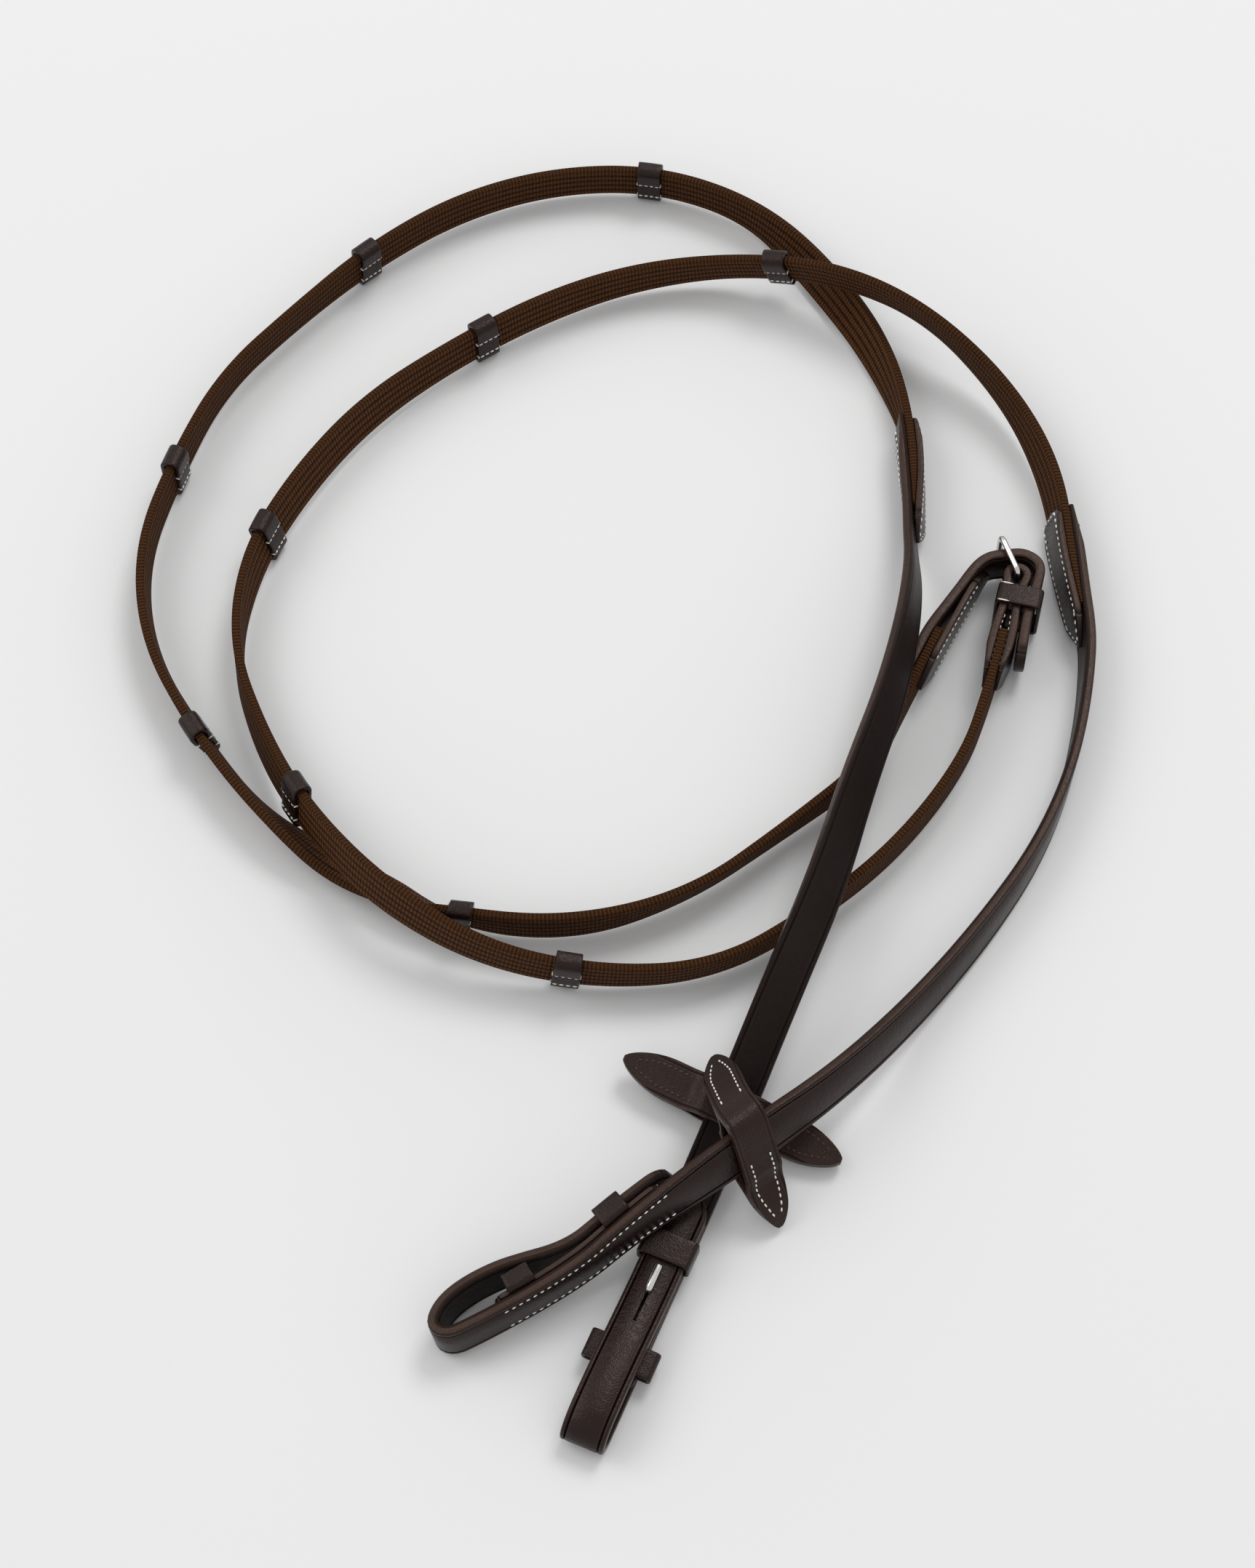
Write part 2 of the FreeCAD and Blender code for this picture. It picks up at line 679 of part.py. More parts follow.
def build():
    """Every piece by name."""
    second = Route(BUCKLE_REIN)
    origin, ahead, across, through = second.frame(second.length)
    bend = []
    for along, right in BILLET_BEND:
        point = origin + ahead * along + through * right
        bend.append((point.x, point.y, BUCKLE_LIFT, 0))
    first = Route(BILLET_REIN + bend)

    parts = {}
    parts["billet_rein_webbing"] = webbing(first, WEB_START_S, web_end(first))
    parts["buckle_rein_webbing"] = webbing(second, WEB_START_S, second.length - WEB_END_FROM_BAR)
    for i in range(HAND_STOP_COUNT):
        parts["billet_rein_hand_stop_%d" % (i + 1)] = hand_stop(first, i)
        parts["buckle_rein_hand_stop_%d" % (i + 1)] = hand_stop(second, i)

    ends = (("billet_rein", first, 1, FLAT_FOLD), ("buckle_rein", second, -1, OPEN_FOLD))
    for name, route, side, fold in ends:
        parts[name + "_bit_strap"] = bit_strap(route, side, fold)
        parts[name + "_bit_lining"] = lining(route, side)
        parts[name + "_hook_stud"] = hook_stud(route, side)
        snug = STRAP_W / 2 + KEEPER_FIT
        top = TUCK + LEATHER_T / 2 + KEEPER_FIT
        parts[name + "_tip_keeper"] = bit_keeper(route, side, TIP_KEEPER_S, snug, top)
        parts[name + "_joint_tab"] = joint_tab(route, side, TAB_TIP_S, 1, joint_shift() / 2)
    lining_top = LEATHER_T / 2 + SEAM + LINING_T
    flat_top = lining_top + FLAT_KEEPER_GAP
    open_top = lining_top + OPEN_KEEPER_GAP
    wide = STRAP_W / 2 + FLAT_KEEPER_SPARE_W
    snug = STRAP_W / 2 + KEEPER_FIT
    parts["billet_rein_empty_keeper"] = bit_keeper(first, 1, EMPTY_KEEPER_S, wide, flat_top)
    parts["buckle_rein_empty_keeper"] = bit_keeper(second, -1, EMPTY_KEEPER_S, snug, open_top)

    parts["billet"] = punched(second, billet(first))
    parts["billet_tab"] = billet_tab(first)
    parts["chape"] = chape(second)
    parts["chape_keeper"] = chape_keeper(second)
    parts["buckle_frame"] = buckle_frame(second)
    parts["buckle_tongue"] = buckle_tongue(second)

    lower = first.frame(LOWER_STOP_S)
    upper = second.frame(UPPER_STOP_S)
    parts["lower_stop_top_layer"] = leaf_layer(lower, flat_leaf(), 1)
    parts["lower_stop_back_layer"] = leaf_layer(lower, flat_leaf(), -1)
    parts["upper_stop_top_layer"] = leaf_layer(upper, draped_leaf(), -1)
    parts["upper_stop_back_layer"] = leaf_layer(upper, draped_leaf(), 1)
    return parts


def main():
    os.makedirs("parts", exist_ok=True)
    for name, shape in sorted(build().items()):
        solid = shape.Solids[0] if len(shape.Solids) == 1 else shape
        low, high = solid.BoundBox.ZMin, solid.BoundBox.ZMax
        print("%-28s solids %d valid %s volume %8.0f z %6.2f to %5.2f" % (
            name, len(shape.Solids), shape.isValid(), shape.Volume, low, high))
        solid.exportStep("parts/%s.step" % name)


main()
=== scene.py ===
# %% [markdown]
# # A pair of web reins, laid in a double loop
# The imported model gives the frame, the bodies and the places.  Everything that
# bends is rebuilt here as a laid band, because real webbing and leather have a
# weave, a rounded edge, a crease and stitches that the plain solids leave out.

# %% Load the frame
import bpy
import bmesh
import math
import random
from bisect import bisect_right
from mathutils import Matrix, Vector


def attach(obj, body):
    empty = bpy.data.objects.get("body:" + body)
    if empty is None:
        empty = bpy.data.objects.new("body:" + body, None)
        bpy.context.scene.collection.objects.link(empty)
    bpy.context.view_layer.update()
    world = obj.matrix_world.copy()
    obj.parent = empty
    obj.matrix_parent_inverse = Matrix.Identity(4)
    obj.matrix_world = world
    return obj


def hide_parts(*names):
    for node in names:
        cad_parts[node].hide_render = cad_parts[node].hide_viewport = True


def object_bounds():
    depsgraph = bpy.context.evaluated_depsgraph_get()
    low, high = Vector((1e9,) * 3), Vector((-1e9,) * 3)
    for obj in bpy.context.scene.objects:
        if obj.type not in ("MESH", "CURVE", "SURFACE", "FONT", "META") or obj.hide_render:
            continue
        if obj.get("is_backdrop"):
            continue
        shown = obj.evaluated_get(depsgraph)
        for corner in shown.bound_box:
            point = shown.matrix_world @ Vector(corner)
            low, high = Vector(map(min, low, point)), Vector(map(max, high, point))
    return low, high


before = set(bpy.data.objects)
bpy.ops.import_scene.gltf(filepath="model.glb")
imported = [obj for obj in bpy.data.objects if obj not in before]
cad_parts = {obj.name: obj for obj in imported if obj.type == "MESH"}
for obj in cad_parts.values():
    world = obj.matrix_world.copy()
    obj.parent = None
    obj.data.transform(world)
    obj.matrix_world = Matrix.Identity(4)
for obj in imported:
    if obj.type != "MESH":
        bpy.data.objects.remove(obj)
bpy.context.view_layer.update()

random.seed(5)
MM = 0.001
UP = Vector((0, 0, 1))
print("frame loaded:", len(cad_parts), "nodes")

# %% [markdown]
# ## Sizes
# A rein is cut to a trade width, here 5/8 inch or 16 mm, and every fitting is cut
# to go round that band.  The sizes could be measured on the solids, but they are
# repeated by name, so that each piece lands on its own solid and can be read.

# %% Sizes of the band, in millimetres
STRAP_W, LEATHER_T, WEB_T, LINING_T, TAB_T, CHAPE_T = 16.0, 4.0, 3.4, 2.0, 2.6, 3.4
HALF_W = STRAP_W / 2
SEAM = 0.1
TAB_TIP_S, WEB_START_S, LEATHER_END_S, TAB_POINT = 388.0, 404.0, 450.0, 16.0
HAND_STOP_FIRST_S, HAND_STOP_PITCH, HAND_STOP_COUNT = 623.0, 130.5, 5
HAND_STOP_L, HAND_STOP_T, HAND_STOP_FIT = 10.0, 2.1, 0.15
BILLET_START_S, WEB_IN_BILLET, WEB_END_FROM_BAR, CHAPE_LENGTH = 1362.0, 22.0, 26.0, 49.0
print("band: %.0f mm wide, leather %.1f and webbing %.1f thick" % (STRAP_W, LEATHER_T, WEB_T))

# %% Sizes of the fittings
LINING_START_S, LINING_END_S = 18.0, 90.0
EMPTY_KEEPER_S, STUD_S, TIP_KEEPER_S, FOLD_TIP_S = 30.0, 54.0, 71.0, 93.0
KEEPER_L, KEEPER_T, KEEPER_FIT = 10.5, 1.5, 0.35
FLAT_KEEPER_SPARE_W, FLAT_KEEPER_GAP, OPEN_KEEPER_GAP = 3.4, 1.2, 4.2
STUD_BASE_T, LAY_FIT = 0.8, 0.2
ROD_R, BAR_FIT, BUCKLE_FIT = 1.2, 0.35, 0.6
CHAPE_HALF_GAP, BILLET_PLAY = 0.9, 0.7
BESIDE = CHAPE_T + CHAPE_HALF_GAP + BILLET_PLAY + LEATHER_T / 2
LEAF_L, LEAF_W, LEAF_T, LEAF_FIT, LEAF_TIP = 86.0, 15.0, 2.1, 1.2, 17.0
UPPER_STOP_S, LOWER_STOP_S, LOWER_SKEW = 124.0, 130.0, 0.06
JOINT_SHIFT = WEB_T / 2 + SEAM + LEATHER_T / 2
LINING_TOP = LEATHER_T / 2 + SEAM + LINING_T
TUCK = LEATHER_T + SEAM + LINING_T + STUD_BASE_T + LAY_FIT
print("from the middle of a strap to the middle of its tucked end: %.1f mm" % TUCK)

# %% Heights that the bands are held at where they cross
REST_FIT, OVER, OVER_LEANING, OVER_LYING, OVER_LEATHER = 0.5, 0.6, 1.6, 2.2, 2.0
# A leaning or lying band keeps these shares of its width and thickness as height.
LEANING, LYING, TURNED = 0.7, 0.5, 0.87
JOINT_LIFT = 1.0
STAND = HAND_STOP_T + HAND_STOP_FIT + REST_FIT
OVER_WEB = STAND + STRAP_W + OVER
LEAN_OVER = REST_FIT + LEANING * STRAP_W + LEANING * WEB_T + OVER_LEANING
FLAT_OVER = REST_FIT + LYING * STRAP_W + TURNED * WEB_T + OVER_LYING
OVER_BIT_END = 2 * LEATHER_T + LINING_T + OVER_LEATHER
BUCKLE_LIFT = BUCKLE_FIT + 2 * ROD_R + REST_FIT
LEAF_LIFT = LEAF_T + LEAF_FIT + REST_FIT
print("over a standing band: %.1f mm, over a leaning one: %.1f mm" % (OVER_WEB, LEAN_OVER))

# %% [markdown]
# ## Where each rein lies
# Laid down in a loop, webbing stands on its edge where it turns and falls flat
# where it runs straight.  A plain curve with a flat profile would twist by its
# own rule, so each row says the lean itself: x, y, the height of the band's
# lowest edge, and how far it leans to the left from standing on that edge.

# %% Rows of the two reins
BILLET_REIN = [
    (-8, -271, 0, 90), (13, -222, 0, 90), (27, -191, 1.5, 90), (44, -150, LEAF_LIFT, 88),
    (62, -110, OVER_WEB + 1, 77), (79, -69, OVER_WEB + 1, 62), (92, -27, OVER_WEB + 1, 47),
    (107, 14, OVER_WEB + 1.5, 38), (116, 55, OVER_WEB - 1, 23), (121, 101, JOINT_LIFT, 10),
    (121, 145, JOINT_LIFT, 3), (109, 188, 0.5, -30), (88, 226, 0.5, -44), (60, 260, STAND, 2),
    (19, 278, STAND, 6), (-25, 277, STAND, 5), (-66, 262, STAND, 1), (-102, 235, STAND, 1),
    (-131, 204, STAND, 8), (-159, 170, STAND, 6), (-175, 128, STAND, -1), (-186, 85, STAND, -2),
    (-180, 42, STAND, -7), (-158, 3, STAND, -17), (-132, -32, STAND, -20), (-96, -57, 0.5, -76),
    (-57, -77, STAND, -7), (-13, -81, STAND, -2), (29, -67, STAND, -18), (64, -40, STAND, -12),
    (99, -11, STAND, 0), (113, 19, STAND, 0), (128, 49, BUCKLE_LIFT, 0), (139, 70, BUCKLE_LIFT, 0),
]
BILLET_BEND = [
    (6, -13.5), (9.5, -5), (11.5, 1), (8, BESIDE + 1.2), (-2, BESIDE + 1.2),
    (-14, BESIDE), (-28, BESIDE + 0.6), (-37, BESIDE + 1.2),
]
BUCKLE_REIN = [
    (-54, -240, 2.4, 8), (-17, -222, 6, 7), (11, -200, OVER_BIT_END + 3, 14),
    (48, -174, OVER_BIT_END + 7, 42), (81, -147, OVER_BIT_END + 1, 26), (110, -114, 1.5, 19),
    (137, -81, 0, 14), (161, -45, 0, 5), (177, -5, 0, -3), (184, 37, JOINT_LIFT, -5),
    (179, 80, JOINT_LIFT, -12), (176, 123, STAND, -17), (160, 163, 6, 0),
    (129, 194, LEAN_OVER + 1.5, 18), (93, 215, LEAN_OVER + 1.5, 14), (52, 229, 6, 14),
    (9, 225, STAND, 3), (-30, 208, STAND, -5), (-66, 184, STAND, -4), (-99, 156, STAND, -13),
    (-124, 121, STAND, -16), (-142, 83, STAND, -15), (-147, 40, STAND, 1), (-133, -2, STAND, 14),
    (-113, -39, 10.5, 12), (-85, -73, FLAT_OVER + 3, 18), (-48, -94, 9, 2), (-5, -101, STAND, -4),
    (38, -98, STAND, -11), (75, -75, STAND, -5), (107, -47, STAND, -2), (133, -11, STAND, -1),
    (144, 19, BUCKLE_LIFT, 3), (152, 46, BUCKLE_LIFT, 2), (158, 70, BUCKLE_LIFT, 0),
]
FLAT_FOLD = [
    (93, TUCK), (80, TUCK), (66, TUCK), (54, TUCK), (44, TUCK + 1), (34, TUCK + 2.4),
    (24, TUCK + 3.8), (12, TUCK + 4.6), (2, TUCK + 3.8), (-4, 6), (-1, 0.2), (8, 0), (16, 0),
]
OPEN_FOLD = [
    (96, TUCK), (82, TUCK), (68, TUCK), (56, TUCK + 0.1), (46, TUCK + 1.8), (36, TUCK + 5),
    (25, TUCK + 7.6), (12, TUCK + 7.8), (2, TUCK + 5.2), (-4.5, 6.2), (-1, 0.3), (8, 0), (16, 0),
]
print("rows: %d for one rein, %d for the other" % (len(BILLET_REIN), len(BUCKLE_REIN)))

# %% [markdown]
# ## A smooth line
# Leather and webbing never bend at a corner.  The rows could be joined by hand
# with many more points, but a NURBS curve of order 3 turns a few of them into
# one smooth line.  A second curve, one band's width away, says which way the
# band faces at each place.

# %% Smooth lines from rows
def smooth_line(points, detail):
    curve = bpy.data.curves.new("line", "CURVE")
    curve.dimensions = "3D"
    curve.resolution_u = detail
    spline = curve.splines.new("NURBS")
    spline.points.add(len(points) - 1)
    for knot, place in zip(spline.points, points):
        knot.co = (*place, 1)
    spline.order_u = 3
    spline.use_endpoint_u = True
    holder = bpy.data.objects.new("line", curve)
    mesh = bpy.data.meshes.new_from_object(holder)
    line = [v.co.copy() for v in mesh.vertices]
    bpy.data.objects.remove(holder)
    bpy.data.curves.remove(curve)
    bpy.data.meshes.remove(mesh)
    return line


def running_length(line):
    run = [0.0]
    for a, b in zip(line, line[1:]):
        run.append(run[-1] + (b - a).length)
    return run


def between(run, place):
    """Which stretch of a running length a place is on, and how far along it."""
    k = min(max(bisect_right(run, place) - 1, 0), len(run) - 2)
    return k, (place - run[k]) / max(run[k + 1] - run[k], 1e-9)


print("line helpers are ready")

# %% Routes of the two reins
LINE_DETAIL, LANE_DETAIL = 24, 12
FULL_HOLD, HOLD_FADE = 1.4, 40.0


class Route:
    """Bench coordinates (s along, w across, t through) laid out in space."""

    def __init__(self, rows):
        flat = [Vector((r[0], r[1], 0)) for r in rows]
        middle, edge = [], []
        for i, (x, y, lift, lean) in enumerate(rows):
            heading = flat[min(i + 1, len(rows) - 1)] - flat[max(i - 1, 0)]
            left = UP.cross(heading).normalized()
            upright, over = math.cos(math.radians(lean)), math.sin(math.radians(lean))
            z = lift + HALF_W * abs(upright) + LEATHER_T / 2 * abs(over)
            middle.append(Vector((x, y, z)))
            edge.append(middle[-1] + (UP * upright + left * over) * STRAP_W)
        line, side = smooth_line(middle, LINE_DETAIL), smooth_line(edge, LINE_DETAIL)
        self.run = running_length(line)
        self.length = self.run[-1]
        self.frames = []
        for i, point in enumerate(line):
            ahead = (line[min(i + 1, len(line) - 1)] - line[max(i - 1, 0)]).normalized()
            across = side[i] - point
            across = (across - ahead * across.dot(ahead)).normalized()
            through = ahead.cross(across)
            reach = HALF_W * abs(across.z) + LEATHER_T / 2 * abs(through.z)
            point.z += max(0.0, reach + self.rest_height(self.run[i]) - point.z)
            self.frames.append((point, across, through))

    def rest_height(self, s):
        """The least height of the band at a place: its hand stops hold it off the floor."""
        stops = [HAND_STOP_FIRST_S + i * HAND_STOP_PITCH for i in range(HAND_STOP_COUNT)]
        away = min(abs(s - stop) for stop in stops)
        return min(max(0.0, STAND * (FULL_HOLD - away / HOLD_FADE)), STAND)

    def at(self, s, w, t):
        k, share = between(self.run, s)
        ends = [m + a * w + n * t for m, a, n in self.frames[k:k + 2]]
        return ends[0] + (ends[1] - ends[0]) * share

    def frame(self, s):
        origin = self.at(s, 0, 0)
        ahead = (self.at(s + 1, 0, 0) - self.at(s - 1, 0, 0)).normalized()
        across = self.at(s, 1, 0) - origin
        across = (across - ahead * across.dot(ahead)).normalized()
        return origin, ahead, across, ahead.cross(across)


second = Route(BUCKLE_REIN)
bar, bar_ahead, bar_across, bar_through = second.frame(second.length)
bend = []
for along, right in BILLET_BEND:
    point = bar + bar_ahead * along + bar_through * right
    bend.append((point.x, point.y, BUCKLE_LIFT, 0))
first = Route(BILLET_REIN + bend)
WEB_END_1 = BILLET_START_S + WEB_IN_BILLET
WEB_END_2 = second.length - WEB_END_FROM_BAR
print("lengths of the two reins: %.0f and %.0f mm" % (first.length, second.length))

# %% [markdown]
# ## From the bench to the floor
# A saddler cuts each piece flat on a bench and bends it afterwards.  A Curve
# modifier could bend a strip, but not round a fold that follows another band.
# So each piece is made with its length along X, its width along Y and its
# thickness along Z, and a lane then carries it: the lane is the piece's own
# line beside the rein, and it can turn back on itself, as the leather does
# round a bit ring.  The flat place of every point is kept in an attribute, so
# grain and weave follow the band.

# %% Lanes
class Lane:
    def __init__(self, route, rows):
        points = [Vector((s, t, 0)) for s, t in rows]
        if len(points) == 2:
            points.insert(1, (points[0] + points[1]) / 2)
        self.route = route
        self.line = smooth_line(points, LANE_DETAIL)
        self.run = running_length(self.line)
        self.length = self.run[-1]
        last = len(self.line) - 1
        self.ahead = [(self.line[min(i + 1, last)] - self.line[max(i - 1, 0)]).normalized()
                      for i in range(last + 1)]

    def put(self, place):
        k, share = between(self.run, place.x)
        point = self.line[k].lerp(self.line[k + 1], share)
        ahead = self.ahead[k].lerp(self.ahead[k + 1], min(max(share, 0), 1)).normalized()
        s = point.x - ahead.y * place.z
        t = point.y + ahead.x * place.z
        return self.route.at(s, place.y, t) * MM


class Leaf:
    """A line of (ahead, w, t) that crosses the strap at one place."""

    def __init__(self, route, s, rows):
        self.origin, self.along, self.across, self.through = route.frame(s)
        self.line = smooth_line(rows, LANE_DETAIL)
        self.run = running_length(self.line)
        self.length = self.run[-1]
        off = [abs(point.y) + abs(point.z) for point in self.line]
        self.tunnel = self.run[off.index(min(off))]

    def put(self, place):
        k, share = between(self.run, place.x)
        point = self.line[k].lerp(self.line[k + 1], share)
        a = (self.line[min(k + 2, len(self.line) - 1)] - self.line[max(k - 1, 0)])
        a = Vector((0, a.y, a.z)).normalized()
        w = point.y - a.z * place.z
        t = point.z + a.y * place.z
        at = self.origin + self.along * (point.x + place.y) + self.across * w + self.through * t
        return at * MM


print("lanes follow a rein, and a leaf crosses it")

# %% Laying a piece down
CRISP_EDGE = 48.0


def set_out(name, data):
    """Put a new object in the scene, at the origin and unturned."""
    piece = bpy.data.objects.new(name, data)
    bpy.context.scene.collection.objects.link(piece)
    return piece


def lay_down(bm, name, lane, material, body="reins", nodes=()):
    bench = bm.verts.layers.float_vector.new("bench")
    for v in bm.verts:
        v[bench] = v.co
        v.co = lane.put(v.co)
    bmesh.ops.recalc_face_normals(bm, faces=bm.faces)
    mesh = bpy.data.meshes.new(name)
    bm.to_mesh(mesh)
    bm.free()
    mesh.shade_smooth()
    mesh.set_sharp_from_angle(angle=math.radians(CRISP_EDGE))
    piece = set_out(name, mesh)
    mesh.materials.append(material)
    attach(piece, body)
    if nodes:
        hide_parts(*nodes)
    return piece


print("pieces are carried by lanes, and edges over %.0f degrees stay crisp" % CRISP_EDGE)

# %% [markdown]
# ## Blanks
# Strap leather is a strip with its long corners rounded off.  A profile swept
# along a curve would give the same, but a strip can also be creased, slotted
# and cut to a point before it is bent.  So a cube is stretched, its long edges
# are bevelled, and it is cut into short stretches.  A loop such as a keeper is
# the same strip hollowed by giving its skin a wall.

# %% Strips
def long_edges(bm):
    return [e for e in bm.edges if abs(e.verts[0].co.x - e.verts[1].co.x) > 1e-4]


def box_blank(middle, length, half, low, high):
    bm = bmesh.new()
    bmesh.ops.create_cube(bm, size=1)
    bmesh.ops.scale(bm, vec=(length, 2 * half, high - low), verts=bm.verts)
    bmesh.ops.translate(bm, vec=(middle, 0, (low + high) / 2), verts=bm.verts)
    return bm


def round_off(bm, edges, size, segments):
    bmesh.ops.bevel(bm, geom=edges, offset=size, offset_type="OFFSET", segments=segments,
                    profile=0.5, affect="EDGES", material=-1, clamp_overlap=True)


def cut_round(bm, place, normal):
    """Add an edge all round a blank where a plane meets it."""
    bmesh.ops.bisect_plane(bm, geom=bm.verts[:] + bm.edges[:] + bm.faces[:], dist=1e-5,
                           plane_co=place, plane_no=normal)


def strip_blank(start, end, half, low, high, step=1.5, rounding=0.6):
    bm = box_blank((start + end) / 2, end - start, half, low, high)
    round_off(bm, long_edges(bm), rounding, 3)
    cuts = max(int((end - start) / step) - 1, 1)
    bmesh.ops.subdivide_edges(bm, edges=long_edges(bm), cuts=cuts, use_grid_fill=True)
    return bm


print("strips and boxes are ready")

# %% Creases, slots and thinned ends
CREASE_HALF_W = 0.45


def creased(bm, half, inset=1.9, depth=0.4):
    """Press a crease into both faces along both edges of a strip."""
    for edge in (-1, 1):
        for offset in (inset - CREASE_HALF_W, inset, inset + CREASE_HALF_W):
            cut_round(bm, (0, edge * (half - offset), 0), (0, 1, 0))
    for v in bm.verts:
        if abs(abs(v.co.y) - (half - inset)) < 0.01:
            v.co.z *= 1 - depth / max(abs(v.co.z), 0.5)
    return bm


def slot_through(bm, start, end, half):
    """Cut a long hole through a strip, from its upper face to its lower one."""
    planes = [((0, half, 0), (0, 1, 0)), ((0, -half, 0), (0, 1, 0)),
              ((start, 0, 0), (1, 0, 0)), ((end, 0, 0), (1, 0, 0))]
    for place, normal in planes:
        cut_round(bm, place, normal)
    middles = [(f, f.calc_center_median()) for f in bm.faces if abs(f.normal.z) > 0.9]
    inside = [f for f, c in middles if start < c.x < end and abs(c.y) < half]
    bmesh.ops.delete(bm, geom=inside, context="FACES")
    bmesh.ops.bridge_loops(bm, edges=[e for e in bm.edges if e.is_boundary])
    return bm


def skived(bm, tip, length, inner, left=0.4):
    """Thin a strip towards a tip, keeping its face at height inner where it is."""
    for v in bm.verts:
        share = min(abs(v.co.x - tip) / length, 1.0)
        v.co.z = inner + (v.co.z - inner) * (left + (1 - left) * share)
    return bm


print("a crease is %.1f mm wide" % (2 * CREASE_HALF_W))

# %% Loops
ROLL_SINK, ROLL_GROOVE, ROLL_STEP = 0.86, 0.8, 0.6


def press_below(bm, roll):
    """Leave a roll at one edge of a loop: a groove beside it, and pressed flat beyond."""
    for y in (roll, roll - ROLL_STEP, roll - 2 * ROLL_STEP):
        cut_round(bm, (0, y, 0), (0, 1, 0))
    for v in bm.verts:
        if v.co.y < roll - 0.1:
            in_groove = roll - 0.9 <= v.co.y <= roll - 0.3
            v.co.z *= ROLL_GROOVE if in_groove else ROLL_SINK


def loop_blank(middle, length, half, low, high, wall, rounding=1.6, roll=None):
    """A loop whose outside is given; the wall goes inwards."""
    bm = box_blank(middle, length, half, low, high)
    ends = [f for f in bm.faces if abs(f.normal.x) > 0.9]
    bmesh.ops.delete(bm, geom=ends, context="FACES")
    round_off(bm, long_edges(bm), rounding, 4)
    bmesh.ops.subdivide_edges(bm, edges=long_edges(bm), cuts=5, use_grid_fill=True)
    if roll is not None:
        press_below(bm, roll)
    bmesh.ops.recalc_face_normals(bm, faces=bm.faces)
    bmesh.ops.solidify(bm, geom=bm.faces, thickness=wall)
    rims = [e for e in bm.edges if e.calc_face_angle(0) > 0.8
            and all(abs(abs(v.co.x - middle) - length / 2) < 1e-3 for v in e.verts)]
    round_off(bm, rims, 0.35, 2)
    return bm


print("below its roll a loop is pressed to %.0f%% of its thickness" % (100 * ROLL_SINK))

# %% Outlines of the ends
def narrowed(bm, *ends):
    """Cut a strip's outline by the width law of each end, a share of its own width."""
    for v in bm.verts:
        v.co.y *= min(end(v.co.x) for end in ends)
    return bm


def point_width(tip, length):
    """Width law of a pointed tip, for a tip at either end."""
    def width(x):
        share = min(abs(x - tip) / length, 1.0)
        return 0.06 + 0.94 * math.sin(math.pi / 2 * share)
    return width


def round_width(tip, length):
    def width(x):
        share = min(abs(x - tip) / length, 1.0)
        return 0.12 + 0.88 * math.sqrt(max(0.0, 1 - (1 - share) ** 2))
    return width


print("blanks are ready: strips, loops and two kinds of end")

# %% [markdown]
# ## Shared shader groups
# All the leather here is one hide, and both bands are one weave.  Each finish
# could hold its own nodes, but then a change would have to be made six times.
# So the hide is one node group with named inputs, and the weave is another.
# They read the bench attribute, in millimetres, and put out masks and heights.

# %% Node helpers
def new_group(name, inputs, outputs):
    tree = bpy.data.node_groups.new(name, "ShaderNodeTree")
    for label, kind, default in inputs:
        socket = tree.interface.new_socket(name=label, in_out="INPUT", socket_type=kind)
        if default is not None:
            socket.default_value = default
    for label, kind in outputs:
        tree.interface.new_socket(name=label, in_out="OUTPUT", socket_type=kind)
    enter = tree.nodes.new("NodeGroupInput")
    leave = tree.nodes.new("NodeGroupOutput")
    return tree, enter, leave


def math_node(tree, operation, a, b=None, c=None, clamp=False):
    node = tree.nodes.new("ShaderNodeMath")
    node.operation = operation
    node.use_clamp = clamp
    for socket, value in zip(node.inputs, (a, b, c)):
        if value is None:
            continue
        if isinstance(value, (int, float)):
            socket.default_value = value
        else:
            tree.links.new(value, socket)
    return node.outputs[0]


def ramp_node(tree, value, low, high, to_low=0.0, to_high=1.0):
    node = tree.nodes.new("ShaderNodeMapRange")
    node.interpolation_type = "SMOOTHSTEP"
    limits = {"From Min": low, "From Max": high, "To Min": to_low, "To Max": to_high}
    for label, number in limits.items():
        if isinstance(number, (int, float)):
            node.inputs[label].default_value = number
        else:
            tree.links.new(number, node.inputs[label])
    tree.links.new(value, node.inputs["Value"])
    return node.outputs["Result"]


def noise_node(tree, vector, scale, detail=3.0, rough=0.55, stretch=(1, 1, 1)):
    mapping = tree.nodes.new("ShaderNodeMapping")
    mapping.inputs["Scale"].default_value = stretch
    tree.links.new(vector, mapping.inputs["Vector"])
    node = tree.nodes.new("ShaderNodeTexNoise")
    node.inputs["Scale"].default_value = scale
    node.inputs["Detail"].default_value = detail
    node.inputs["Roughness"].default_value = rough
    tree.links.new(mapping.outputs[0], node.inputs["Vector"])
    return node.outputs["Fac"]


def mix_colour(tree, share, a, b):
    node = tree.nodes.new("ShaderNodeMix")
    node.data_type = "RGBA"
    tree.links.new(share, node.inputs[0])
    for socket, value in ((node.inputs[6], a), (node.inputs[7], b)):
        if isinstance(value, tuple):
            socket.default_value = value
        else:
            tree.links.new(value, socket)
    return node.outputs[2]


print("node helpers are ready")

